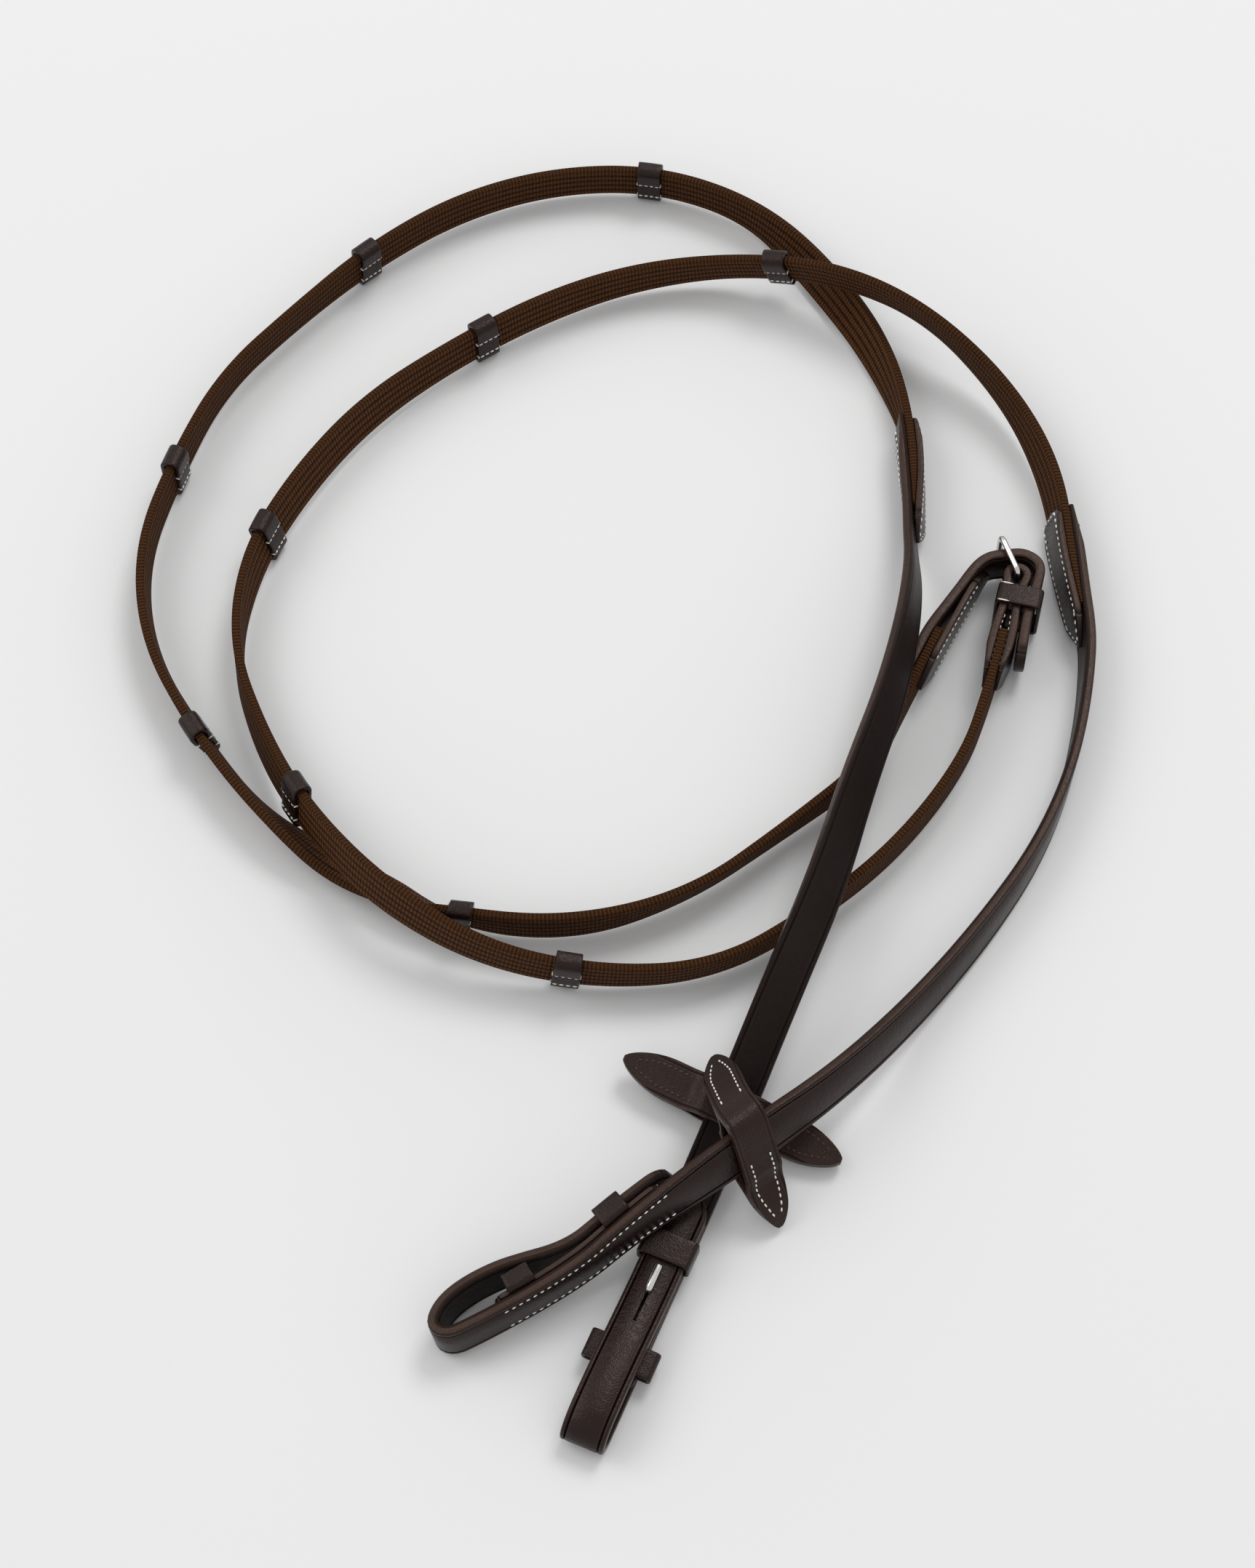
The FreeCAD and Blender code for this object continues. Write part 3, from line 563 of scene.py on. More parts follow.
# %% Leather grain, crease and painted edge
leather_group, enter, leave = new_group("Leather skin", [
    ("Bench", "NodeSocketVector", None), ("Half Width", "NodeSocketFloat", 8.0),
    ("Crease In", "NodeSocketFloat", 1.9), ("Flesh Side", "NodeSocketFloat", 0.0),
], [("Height", "NodeSocketFloat"), ("Edge Paint And Highlight", "NodeSocketFloat"), ("Crease", "NodeSocketFloat"),
    ("Mottle", "NodeSocketFloat"), ("Flesh", "NodeSocketFloat")])
t = leather_group
spot = enter.outputs["Bench"]
split = t.nodes.new("ShaderNodeSeparateXYZ")
t.links.new(spot, split.inputs[0])
across = math_node(t, "ABSOLUTE", split.outputs["Y"])
inset = math_node(t, "SUBTRACT", enter.outputs["Half Width"], across)
crease_gap = math_node(t, "ABSOLUTE", math_node(t, "SUBTRACT", inset, enter.outputs["Crease In"]))
crease = ramp_node(t, crease_gap, 0.0, 0.42, 1.0, 0.0)
# Painted highlight: a light line on either side of each crease, where gloss would catch the light.
crease_highlight_gap = math_node(t, "ABSOLUTE", math_node(t, "SUBTRACT", crease_gap, 0.75))
painted_crease_highlight = ramp_node(t, crease_highlight_gap, 0.0, 0.35, 0.45, 0.0)
# This mask holds the real edge paint at the strap's sides together with the painted highlight
# beside the creases.
edge = math_node(t, "MAXIMUM", ramp_node(t, inset, 0.05, 0.6, 1.0, 0.0), painted_crease_highlight)
towards_flesh = math_node(t, "MULTIPLY", split.outputs["Z"], enter.outputs["Flesh Side"])
flesh = ramp_node(t, towards_flesh, 0.5, 0.9)
mottle = noise_node(t, spot, 0.09, 4.0, 0.6, (0.5, 1, 1))
pores = t.nodes.new("ShaderNodeTexVoronoi")
pores.inputs["Scale"].default_value = 1.5
t.links.new(spot, pores.inputs["Vector"])
pebble = ramp_node(t, pores.outputs["Distance"], 0.1, 0.7)
nap = noise_node(t, spot, 1.7, 6.0, 0.75)
wrinkle = noise_node(t, spot, 0.45, 5.0, 0.7, (1, 0.35, 1))
smooth_height = math_node(t, "MULTIPLY_ADD", wrinkle, 1.3, math_node(t, "MULTIPLY", pebble, 0.3))
smooth_height = math_node(t, "SUBTRACT", smooth_height, math_node(t, "MULTIPLY", crease, 1.6))
rough_height = math_node(t, "MULTIPLY", nap, 8.0)
height = t.nodes.new("ShaderNodeMix")
t.links.new(flesh, height.inputs[0])
t.links.new(smooth_height, height.inputs[2])
t.links.new(rough_height, height.inputs[3])
t.links.new(height.outputs[0], leave.inputs["Height"])
masks = {"Edge Paint And Highlight": edge, "Crease": crease, "Mottle": mottle, "Flesh": flesh}
for label, mask in masks.items():
    t.links.new(mask, leave.inputs[label])
print("hide: %d nodes" % len(leather_group.nodes))

# %% Ribbed weave of the webbing
RIB_W, PICK_L = 3.2, 1.5
weave_group, enter, leave = new_group("Ribbed weave", [
    ("Bench", "NodeSocketVector", None), ("Rib Width", "NodeSocketFloat", RIB_W),
    ("Pick Length", "NodeSocketFloat", PICK_L),
], [("Height", "NodeSocketFloat"), ("Thread", "NodeSocketFloat"), ("Fibre", "NodeSocketFloat")])
t = weave_group
spot = enter.outputs["Bench"]
split = t.nodes.new("ShaderNodeSeparateXYZ")
t.links.new(spot, split.inputs[0])
from_edge = math_node(t, "ADD", split.outputs["Y"], HALF_W)
lane_at = math_node(t, "DIVIDE", from_edge, enter.outputs["Rib Width"])
rib = math_node(t, "ABSOLUTE", math_node(t, "SINE", math_node(t, "MULTIPLY", lane_at, math.pi)))
rib = ramp_node(t, rib, 0.05, 0.85)
selvedge = ramp_node(t, math_node(t, "ABSOLUTE", split.outputs["Y"]), 7.2, 7.7, 0.0, 0.5)
rib = math_node(t, "MAXIMUM", rib, selvedge)
turn = math_node(t, "MULTIPLY", split.outputs["X"], 2 * math.pi)
turn = math_node(t, "DIVIDE", turn, enter.outputs["Pick Length"])
pick = math_node(t, "MULTIPLY_ADD", math_node(t, "SINE", turn), 0.5, 0.5)
pick = math_node(t, "MULTIPLY_ADD", pick, 0.75, 0.25)
fibre = noise_node(t, spot, 2.2, 4.0, 0.7, (1, 0.4, 1))
height = math_node(t, "ADD", rib, math_node(t, "MULTIPLY", pick, 0.9))
height = math_node(t, "ADD", height, math_node(t, "MULTIPLY", fibre, 0.35))
t.links.new(height, leave.inputs["Height"])
# Thread is high on raised threads and low in the grooves; the webbing finish paints shade where it
# is low.
t.links.new(math_node(t, "MULTIPLY", rib, pick), leave.inputs["Thread"])
t.links.new(fibre, leave.inputs["Fibre"])
print("weave: %d nodes" % len(weave_group.nodes))

# %% [markdown]
# ## Finishes
# Dark brown bridle leather is waxed: nearly black in the flat, with a soft
# shine and lighter painted edges.  One even brown would look like plastic, so
# the hide's mottle, a painted shade in its creases and its worn edge paint each
# mix in a shade of one body colour; a painted highlight line beside each crease
# is mixed in with the edge paint, and the same mottle makes the shine uneven.

# %% Leather finish
def bench_spot(tree):
    node = tree.nodes.new("ShaderNodeAttribute")
    node.attribute_name = "bench"
    return node.outputs["Vector"]


def bump_into(tree, shader, height, distance, strength=1.0):
    bump = tree.nodes.new("ShaderNodeBump")
    bump.inputs["Strength"].default_value = strength
    bump.inputs["Distance"].default_value = distance
    tree.links.new(height, bump.inputs["Height"])
    tree.links.new(bump.outputs[0], shader.inputs["Normal"])


def new_finish(name):
    material = bpy.data.materials.new(name)
    material.use_nodes = True
    tree = material.node_tree
    return material, tree, tree.nodes["Principled BSDF"]


def tone(colour, share=1.0):
    return tuple(c * share for c in colour) + (1,)


def leather(name, body, edge, half=HALF_W, crease=1.9, flesh=0.0, shine=0.24, bump=0.0002):
    material, tree, shader = new_finish(name)
    skin = tree.nodes.new("ShaderNodeGroup")
    skin.node_tree = leather_group
    tree.links.new(bench_spot(tree), skin.inputs["Bench"])
    skin.inputs["Half Width"].default_value = half
    skin.inputs["Crease In"].default_value = crease
    skin.inputs["Flesh Side"].default_value = flesh
    mottle = skin.outputs["Mottle"]
    shade = mix_colour(tree, mottle, tone(body, 0.72), tone(body, 1.7))
    # Painted shade: the crease line is darkened to about a third of the body colour, standing in
    # for the shade in its groove.
    shade = mix_colour(tree, skin.outputs["Crease"], shade, tone(body, 0.35))
    shade = mix_colour(tree, skin.outputs["Flesh"], shade, tone(body, 1.15))
    rubbed = ramp_node(tree, mottle, 0.25, 0.6, 0.45, 1.0)
    # Edge paint, rubbed off at random by the mottle, and the painted highlight lines beside the
    # creases, both in the lighter edge colour.
    edge_paint_and_highlight = math_node(tree, "MULTIPLY", skin.outputs["Edge Paint And Highlight"], rubbed)
    shade = mix_colour(tree, edge_paint_and_highlight, shade, tone(edge))
    tree.links.new(shade, shader.inputs["Base Color"])
    rough = ramp_node(tree, mottle, 0.3, 0.7, shine, shine + 0.12)
    rough_flesh = math_node(tree, "MULTIPLY", skin.outputs["Flesh"], 0.04)
    rough = math_node(tree, "ADD", rough, rough_flesh, clamp=True)
    tree.links.new(rough, shader.inputs["Roughness"])
    shader.inputs["Specular IOR Level"].default_value = 0.3
    shader.inputs["Specular Tint"].default_value = (1.0, 0.82, 0.76, 1)
    bump_into(tree, shader, skin.outputs["Height"], bump)
    return material


print("each leather is built on:", leather_group.name)

# %% The six leathers
BROWN = (0.0072, 0.0032, 0.0024)
STOP_BROWN = (0.0110, 0.0050, 0.0037)
# Colour of the edge paint; the painted highlight lines beside the creases use it too.
EDGE = (0.034, 0.0165, 0.0108)
NO_EDGE = 100.0
strap_leather = leather("strap_leather", BROWN, EDGE)
tab_leather = leather("tab_leather", BROWN, EDGE, crease=1.0)
keeper_leather = leather("keeper_leather", BROWN, BROWN, half=NO_EDGE)
stop_leather = leather("rein_stop_leather", STOP_BROWN, EDGE, half=LEAF_W / 2, crease=1.2,
                       bump=0.00022, shine=0.3)
flat_side = leather("bit_strap_flesh_up", BROWN, EDGE, flesh=1.0)
open_side = leather("bit_strap_flesh_in", BROWN, EDGE, flesh=-1.0)
print("leathers:", [m.name for m in bpy.data.materials if "leather" in m.name])

# %% [markdown]
# The webbing is a matt brown cotton.  Its colour could be a picture of cloth,
# but the weave's own thread mask serves: it is painted near black between the
# threads, as shade in the grooves, brown on them, and paler where single
# fibres stand up.

# %% Webbing finish
webbing_finish, tree, shader = new_finish("brown_webbing")
weave = tree.nodes.new("ShaderNodeGroup")
weave.node_tree = weave_group
weave.inputs["Rib Width"].default_value = RIB_W
weave.inputs["Pick Length"].default_value = PICK_L
tree.links.new(bench_spot(tree), weave.inputs["Bench"])
thread_vs_groove_shade = ramp_node(tree, weave.outputs["Thread"], 0.0, 0.9)
# Painted shade: near black where the thread mask is low, in the grooves between ribs and picks;
# brown on the raised threads.
shade = mix_colour(tree, thread_vs_groove_shade, (0.0065, 0.0025, 0.001, 1), (0.105, 0.037, 0.0105, 1))
fuzz = ramp_node(tree, weave.outputs["Fibre"], 0.35, 0.75, 0.0, 0.35)
shade = mix_colour(tree, fuzz, shade, (0.15, 0.063, 0.019, 1))
tree.links.new(shade, shader.inputs["Base Color"])
shader.inputs["Roughness"].default_value = 0.78
shader.inputs["Specular IOR Level"].default_value = 0.1
bump_into(tree, shader, weave.outputs["Height"], 0.0008)
print("webbing: ribs %.1f mm wide, a pick every %.1f mm" % (RIB_W, PICK_L))

# %% [markdown]
# Waxed thread is slightly uneven in colour, and polished steel has a faint rub.
# Both patterns are noise on the object's own coordinates, since thread and rod
# have no flat side to lay a pattern along.

# %% Thread and metal finishes
def thread(name, low, high):
    material, tree, shader = new_finish(name)
    place = tree.nodes.new("ShaderNodeTexCoord").outputs["Object"]
    twist = noise_node(tree, place, 900.0, 2.0)
    tree.links.new(mix_colour(tree, twist, low, high), shader.inputs["Base Color"])
    shader.inputs["Roughness"].default_value = 0.6
    bump_into(tree, shader, twist, 0.0002)
    return material


thread_finish = thread("waxed_white_thread", (0.62, 0.59, 0.54, 1), (0.88, 0.87, 0.84, 1))
dark_thread = thread("waxed_brown_thread", (0.03, 0.017, 0.012, 1), (0.07, 0.04, 0.028, 1))

steel, tree, shader = new_finish("polished_steel")
place = tree.nodes.new("ShaderNodeTexCoord").outputs["Object"]
rub = noise_node(tree, place, 90.0, 3.0, 0.6)
shader.inputs["Metallic"].default_value = 1.0
shade = mix_colour(tree, rub, (0.55, 0.54, 0.52, 1), (0.82, 0.81, 0.79, 1))
tree.links.new(shade, shader.inputs["Base Color"])
tree.links.new(ramp_node(tree, rub, 0.3, 0.8, 0.12, 0.24), shader.inputs["Roughness"])
print("finishes made:", len(bpy.data.materials))

# %% [markdown]
# ## Webbing
# The rider holds the woven part.  Its two selvedges are toothed where the weft
# turns back, and bump alone would leave them straight against the light.  So
# the long corners are pushed in and out by a quarter of a millimetre at every
# pick, and the end inside the joint is thinned.

# %% Webbing of both reins
PICK_STEP, TOOTH = PICK_L / 2, 0.24


def webbing(name, route, start, end):
    lane = Lane(route, [(start, 0), (end, 0)])
    bm = strip_blank(0, lane.length, HALF_W - 0.1, -WEB_T / 2, WEB_T / 2, PICK_STEP, 0.9)
    for v in bm.verts:
        if abs(v.co.y) > HALF_W - 0.6:
            tooth = TOOTH if round(v.co.x / PICK_STEP) % 2 else -TOOTH
            v.co.y += math.copysign(tooth, v.co.y)
    skived(bm, 0, 24, 0, 0.25)
    return lay_down(bm, name + "_weave", lane, webbing_finish, nodes=[name])


bands = [webbing("billet_rein_webbing", first, WEB_START_S, WEB_END_1),
         webbing("buckle_rein_webbing", second, WEB_START_S, WEB_END_2)]
print("webbing faces:", [len(band.data.polygons) for band in bands])

# %% [markdown]
# ## Stitches
# Saddlers sew with thick waxed thread, about nine stitches to the inch here, so
# every stitch can be seen.  Instances would be lighter, but they do not bend
# with the leather.  One stitch is a tiny stretched ball of thread: they are set
# out on the bench and carried by the same lane as the leather that they hold.

# %% Stitch blanks
STITCH_PITCH, STITCH_L, BIT_STITCH_L = 2.7, 1.9, 1.8


def sew(bm, x, y, z, turn, length, thick=0.75, high=0.75):
    spin = Matrix.Rotation(turn, 4, "Z")
    size = Matrix.Diagonal((length / 2, thick / 2, high / 2, 1))
    bmesh.ops.create_icosphere(bm, subdivisions=1, radius=1.0,
                               matrix=Matrix.Translation((x, y, z)) @ spin @ size)


def sew_row(bm, start, end, y, z, length=STITCH_L):
    count = int(abs(end - start) / STITCH_PITCH)
    for k in range(count + 1):
        sew(bm, start + (end - start) * k / count, y, z, random.uniform(-0.06, 0.06), length)


print("stitches: %.1f mm apart, %.1f mm long" % (STITCH_PITCH, STITCH_L))

# %% [markdown]
# ## Hand stops
# A hand stop is a short leather loop round the webbing that the rider's fingers
# rest against.  Its ends meet in a roll on one edge, and two bars of thread
# close it.  A loop blank gives the wall and the roll in one, and it is laid
# straight on the band, because it is too short to bend.

# %% Hand stops
STOP_BENCH, STOP_ROLL, THREAD_T = 12, 2.6, 0.8
BAR_LINES, BAR_STITCHES, BAR_ENDS = (1.7, -5.6), (8.4, 10.8, 13.2, 15.6), (6.9, 17.1)


def hand_stop(name, route, index):
    s = HAND_STOP_FIRST_S + HAND_STOP_PITCH * index
    lane = Lane(route, [(s - STOP_BENCH, 0), (s + STOP_BENCH, 0)])
    half = HALF_W + HAND_STOP_FIT + HAND_STOP_T
    high = WEB_T / 2 + HAND_STOP_FIT + HAND_STOP_T
    bm = loop_blank(STOP_BENCH, HAND_STOP_L, half, -high, high, HAND_STOP_T - 0.35,
                    rounding=3.1, roll=STOP_ROLL)
    lay_down(bm, name + "_loop", lane, keeper_leather, nodes=[name])
    bm = bmesh.new()
    face_z = high * ROLL_SINK
    for face in (-1, 1):
        for y in BAR_LINES:
            for x in BAR_STITCHES:
                sew(bm, x, y, face * face_z, 0.0, STITCH_L, THREAD_T, THREAD_T)
            for x in BAR_ENDS:
                sew(bm, x, y, face * (face_z - 0.7), 0.0, 0.7, THREAD_T, 2.2)
    lay_down(bm, name + "_thread", lane, thread_finish)


for i in range(HAND_STOP_COUNT):
    hand_stop("billet_rein_hand_stop_%d" % (i + 1), first, i)
    hand_stop("buckle_rein_hand_stop_%d" % (i + 1), second, i)
print("hand stops:", 2 * HAND_STOP_COUNT)

# %% [markdown]
# ## Bit ends
# The strap goes round the bit ring and comes back along itself to a hook stud,
# so that the rein can be taken off the bit without sewing.  The turn could be a
# separate bent piece, but then the grain would stop at a seam.  One strip is
# laid along a lane that makes that turn and then follows the rein to the sewn
# joint with the webbing.  The loops on either side of the stud are keepers: one
# holds the tucked tip, and the other, nearer the fold, stands empty.

# %% Bit straps
JOINT_RUN = ((330, 0), (352, 0), (372, 0.6), (TAB_TIP_S, 2), (WEB_START_S, 2.6),
             (WEB_START_S + 12, 3.2), (WEB_START_S + 26, JOINT_SHIFT), (LEATHER_END_S, JOINT_SHIFT))
SLIT_START, SLIT_END, SLIT_HALF_W = 1, 13, 0.6


def bit_strap(name, route, side, fold, finish):
    rows = [(s, t * side) for s, t in fold]
    rows += [(s, -side * t) for s, t in JOINT_RUN]
    lane = Lane(route, rows)
    bm = strip_blank(0, lane.length, HALF_W, -LEATHER_T / 2, LEATHER_T / 2, 1.6, 1.0)
    creased(bm, HALF_W)
    if side > 0:
        stud = FOLD_TIP_S - STUD_S
        slot_through(bm, stud + SLIT_START, stud + SLIT_END, SLIT_HALF_W)
    narrowed(bm, round_width(0, 9))
    skived(bm, lane.length, 18, side * LEATHER_T / 2, 0.45)
    lay_down(bm, name + "_bit_strap_leather", lane, finish, nodes=[name + "_bit_strap"])
    return lane.length


print("the slit beside the hook stud is %d mm long" % (SLIT_END - SLIT_START))

# %% Linings and keepers of the bit ends
def bit_lining(name, lane, side):
    low = LEATHER_T / 2 + SEAM
    faces = (low, LINING_TOP) if side > 0 else (-LINING_TOP, -low)
    bm = strip_blank(LINING_START_S, LINING_END_S, HALF_W - 0.1, *faces, 1.5, 0.5)
    narrowed(bm, round_width(LINING_START_S, 5), round_width(LINING_END_S, 5))
    lay_down(bm, name + "_bit_lining_leather", lane, tab_leather, nodes=[name + "_bit_lining"])


def bit_keeper(name, lane, side, s, half, high):
    ends = sorted((side * (LEATHER_T / 2 + SEAM / 2), side * (high + KEEPER_T)))
    bm = loop_blank(s, KEEPER_L, half + KEEPER_T, ends[0], ends[1], KEEPER_T, rounding=1.9)
    lay_down(bm, name + "_leather", lane, keeper_leather, nodes=[name])


print("a lining is %.0f mm long" % (LINING_END_S - LINING_START_S))

# %% Whole bit ends
BIT_LINE, BIT_THREAD_SINK = 5.4, 0.36


def bit_end(name, route, side, fold, finish, keeper_half, keeper_top):
    length = bit_strap(name, route, side, fold, finish)
    lane = Lane(route, [(0, 0), (120, 0)])
    bit_lining(name, lane, side)
    snug, top = HALF_W + KEEPER_FIT, TUCK + LEATHER_T / 2 + KEEPER_FIT
    bit_keeper(name + "_tip_keeper", lane, side, TIP_KEEPER_S, snug, top)
    bit_keeper(name + "_empty_keeper", lane, side, EMPTY_KEEPER_S, keeper_half, keeper_top)
    bm = bmesh.new()
    sunk = BIT_THREAD_SINK if side > 0 else 0.0
    for y in (-BIT_LINE, BIT_LINE):
        sew_row(bm, 21, 88, y, -side * (LEATHER_T / 2 - sunk), BIT_STITCH_L)
        sew_row(bm, 21, 88, y, side * LINING_TOP, BIT_STITCH_L)
    lay_down(bm, name + "_bit_thread", lane, thread_finish)
    print("%s: its strap is %.0f mm long before it is folded" % (name, length))


bit_end("billet_rein", first, 1, FLAT_FOLD, flat_side, HALF_W + FLAT_KEEPER_SPARE_W,
        LINING_TOP + FLAT_KEEPER_GAP)
bit_end("buckle_rein", second, -1, OPEN_FOLD, open_side, HALF_W + KEEPER_FIT,
        LINING_TOP + OPEN_KEEPER_GAP)

# %% [markdown]
# ## Joints between leather and webbing
# The webbing's end lies between the strap and a pointed tab, and a row of
# stitches runs down each edge of the tab.  The tab is cut to its outline while
# it is flat, by a law that gives its width along its length, because a point
# that is cut after bending would twist with the band.

# %% Joint tabs
TAB_FACE = WEB_T / 2 + SEAM + TAB_T / 2
TAB_LINE, TIP_STITCHES = 5.8, 4


def tab_thread(name, lane, side):
    bm = bmesh.new()
    for y in (-TAB_LINE, TAB_LINE):
        sew_row(bm, 13, lane.length - 4, y, side * (TAB_T / 2))
    for y in (-4, -1.3, 1.3, 4):
        sew(bm, lane.length - 2.6, y, side * (TAB_T / 2 - 0.45), math.pi / 2, STITCH_L)
    for k in range(TIP_STITCHES):
        for y in (-1, 1):
            sew(bm, 3 + 2.9 * k, y * (1.2 + 1.4 * k), side * (0.4 + 0.31 * k), y * 0.5, STITCH_L)
    lay_down(bm, name + "_joint_thread", lane, thread_finish)


def joint_tab(name, route, side):
    rows = [(TAB_TIP_S, side * 1.5), (WEB_START_S, side * 1.9), (WEB_START_S + 12, side * 2.5),
            (WEB_START_S + 26, side * TAB_FACE), (LEATHER_END_S, side * TAB_FACE)]
    lane = Lane(route, rows)
    bm = strip_blank(0, lane.length, HALF_W, -TAB_T / 2, TAB_T / 2)
    creased(bm, HALF_W, 0.9, 0.15)
    narrowed(bm, point_width(0, TAB_POINT), round_width(lane.length, 5))
    skived(bm, lane.length, 12, -side * TAB_T / 2, 0.5)
    skived(bm, 0, 12, -side * TAB_T / 2, 0.5)
    lay_down(bm, name + "_joint_tab_leather", lane, tab_leather, nodes=[name + "_joint_tab"])
    tab_thread(name, lane, side)
    outer = Lane(route, [(TAB_TIP_S, -side * JOINT_SHIFT), (LEATHER_END_S, -side * JOINT_SHIFT)])
    bm = bmesh.new()
    for y in (-TAB_LINE, TAB_LINE):
        sew_row(bm, 30, outer.length - 8, y, -side * (LEATHER_T / 2))
    lay_down(bm, name + "_joint_back_thread", outer, thread_finish)
    print("%s: joint tab %.0f mm long" % (name, lane.length))


joint_tab("billet_rein", first, 1)
joint_tab("buckle_rein", second, -1)

# %% [markdown]
# ## Billet and chape
# At the rider's hands the two reins are buckled to each other.  The billet goes
# round the buckle and back through a keeper; the chape is one strip folded
# round the buckle's bar and sewn over the webbing's end.  Both turns come from
# their routes and lanes, not from bent blocks, so the leather keeps its length.

# %% Billet
away = -JOINT_SHIFT
lane = Lane(first, [(BILLET_START_S, away), (BILLET_START_S + 12, away), (WEB_END_1, away),
                    (WEB_END_1 + 14, -1.6), (WEB_END_1 + 30, 0), (first.length, 0)])
bm = strip_blank(0, lane.length, HALF_W, -LEATHER_T / 2, LEATHER_T / 2, 1.5, 1.0)
creased(bm, HALF_W)
narrowed(bm, round_width(lane.length, 8))
skived(bm, 0, 16, LEATHER_T / 2, 0.45)
lay_down(bm, "billet_leather_end", lane, strap_leather, nodes=["billet"])
print("billet: %.0f mm long" % lane.length)

# %% The tab that doubles the billet
laid = LEATHER_T / 2 + SEAM + TAB_T / 2
lane = Lane(first, [(BILLET_START_S - 2, TAB_FACE - 0.7), (BILLET_START_S + 8, TAB_FACE),
                    (WEB_END_1, TAB_FACE), (WEB_END_1 + 26, laid), (WEB_END_1 + 38, laid - 0.5)])
bm = strip_blank(0, lane.length, HALF_W, -TAB_T / 2, TAB_T / 2)
narrowed(bm, point_width(0, TAB_POINT), point_width(lane.length, TAB_POINT))
lay_down(bm, "billet_tab_leather", lane, tab_leather, nodes=["billet_tab"])
bm = bmesh.new()
for y in (-TAB_LINE, TAB_LINE):
    sew_row(bm, 13, lane.length - 13, y, TAB_T / 2 + 0.05)
lay_down(bm, "billet_tab_thread", lane, thread_finish)
print("billet tab: %.0f mm long" % lane.length)

# %% Chape
CHAPE_LINE, CHAPE_POINT, CHAPE_SKIVE = 6.5, 9, 16
end = second.length
spread = WEB_T / 2 + SEAM + CHAPE_T / 2
around = ROD_R + BAR_FIT + CHAPE_T / 2
flat = CHAPE_T / 2 + CHAPE_HALF_GAP
half_path = [(end - CHAPE_LENGTH, spread), (end - WEB_END_FROM_BAR - 10, spread),
             (end - WEB_END_FROM_BAR + 2, spread), (end - 16, flat), (end - 9, flat),
             (end - 3, around), (end + 1.6, around + 0.9), (end + around + 1, 1.8)]
lane = Lane(second, half_path + [(s, -t) for s, t in reversed(half_path)])
bm = strip_blank(0, lane.length, HALF_W, -CHAPE_T / 2, CHAPE_T / 2, 1.2, 0.9)
narrowed(bm, point_width(0, CHAPE_POINT), point_width(lane.length, CHAPE_POINT))
skived(bm, 0, CHAPE_SKIVE, -CHAPE_T / 2, 0.35)
skived(bm, lane.length, CHAPE_SKIVE, -CHAPE_T / 2, 0.35)
lay_down(bm, "chape_leather_fold", lane, strap_leather, nodes=["chape"])
bm = bmesh.new()
for y in (-CHAPE_LINE, CHAPE_LINE):
    sew_row(bm, 8, 30, y, -CHAPE_T / 2)
    sew_row(bm, lane.length - 30, lane.length - 8, y, -CHAPE_T / 2)
lay_down(bm, "chape_thread", lane, thread_finish)
print("chape: %.0f mm long before it is folded" % lane.length)

# %% Keeper on the chape
CHAPE_KEEPER_L, KEEPER_BENCH, KEEPER_MIDDLE = 9, 30, 20
lane = Lane(second, [(end - KEEPER_BENCH, 0), (end, 0)])
low = -(CHAPE_T + CHAPE_HALF_GAP + KEEPER_FIT) - KEEPER_T
high = BESIDE + CHAPE_HALF_GAP + LEATHER_T / 2 + KEEPER_FIT + KEEPER_T
top = HALF_W + KEEPER_FIT + KEEPER_T
bm = loop_blank(KEEPER_MIDDLE, CHAPE_KEEPER_L, top, low, high, KEEPER_T, rounding=2.2)
lay_down(bm, "chape_keeper_leather", lane, keeper_leather, nodes=["chape_keeper"])
bm = bmesh.new()
for x in (15.9, 24.1):
    sew(bm, x, top, low + 3.2, 0.0, 0.7, 0.6, 5.0)
lay_down(bm, "chape_keeper_thread", lane, thread_finish)
print("chape keeper: %.1f mm from side to side" % (high - low))

# %% [markdown]
# ## Rein stops
# A rein stop keeps a martingale's ring away from the bit.  It is two leaves of
# leather sewn together at both ends, with the strap through the gap between
# them.  A grid is cut to the leaf's outline and given its thickness, and its
# two faces are then laid off the leaf's middle line by the gap, which closes
# where the leaves are sewn.

# %% Shape of a leaf
LEAF_ALONG, LEAF_ACROSS = 72, 12


def leaf_width(along, length):
    taper = min(1.0, 0.02 + min(along, length - along) / (LEAF_TIP + 3))
    return LEAF_W / 2 * math.sin(math.pi / 2 * taper) ** 0.62


def stand_off(along):
    hollow = LEATHER_T / 2 + LEAF_FIT
    share = min(1.0, max(0.0, (abs(along) - HALF_W - 1.5) / 7.0))
    return hollow + (SEAM / 2 - hollow) * share * share * (3 - 2 * share)


def leaf_blank(leaf, side):
    bm = bmesh.new()
    bmesh.ops.create_grid(bm, x_segments=LEAF_ALONG, y_segments=LEAF_ACROSS, size=1)
    for v in bm.verts:
        x = (v.co.x + 1) / 2 * leaf.length
        v.co = Vector((x, v.co.y * leaf_width(x, leaf.length), 0))
    bmesh.ops.recalc_face_normals(bm, faces=bm.faces)
    bmesh.ops.solidify(bm, geom=bm.faces, thickness=LEAF_T)
    top = max(v.co.z for v in bm.verts)
    for v in bm.verts:
        outer = LEAF_T if abs(v.co.z - top) < 0.1 else 0.0
        v.co.z = side * (stand_off(v.co.x - leaf.tunnel) + outer)
    round_off(bm, [e for e in bm.edges if e.calc_face_angle(0) > 0.8], 0.55, 3)
    return bm


print("leaf: %.0f by %.0f mm" % (LEAF_L, LEAF_W))

# %% Stitches of a leaf
LEAF_STITCHES, LEAF_FIRST, LEAF_PITCH, LEAF_STITCH_L = 11, 6.0, 2.2, 1.7


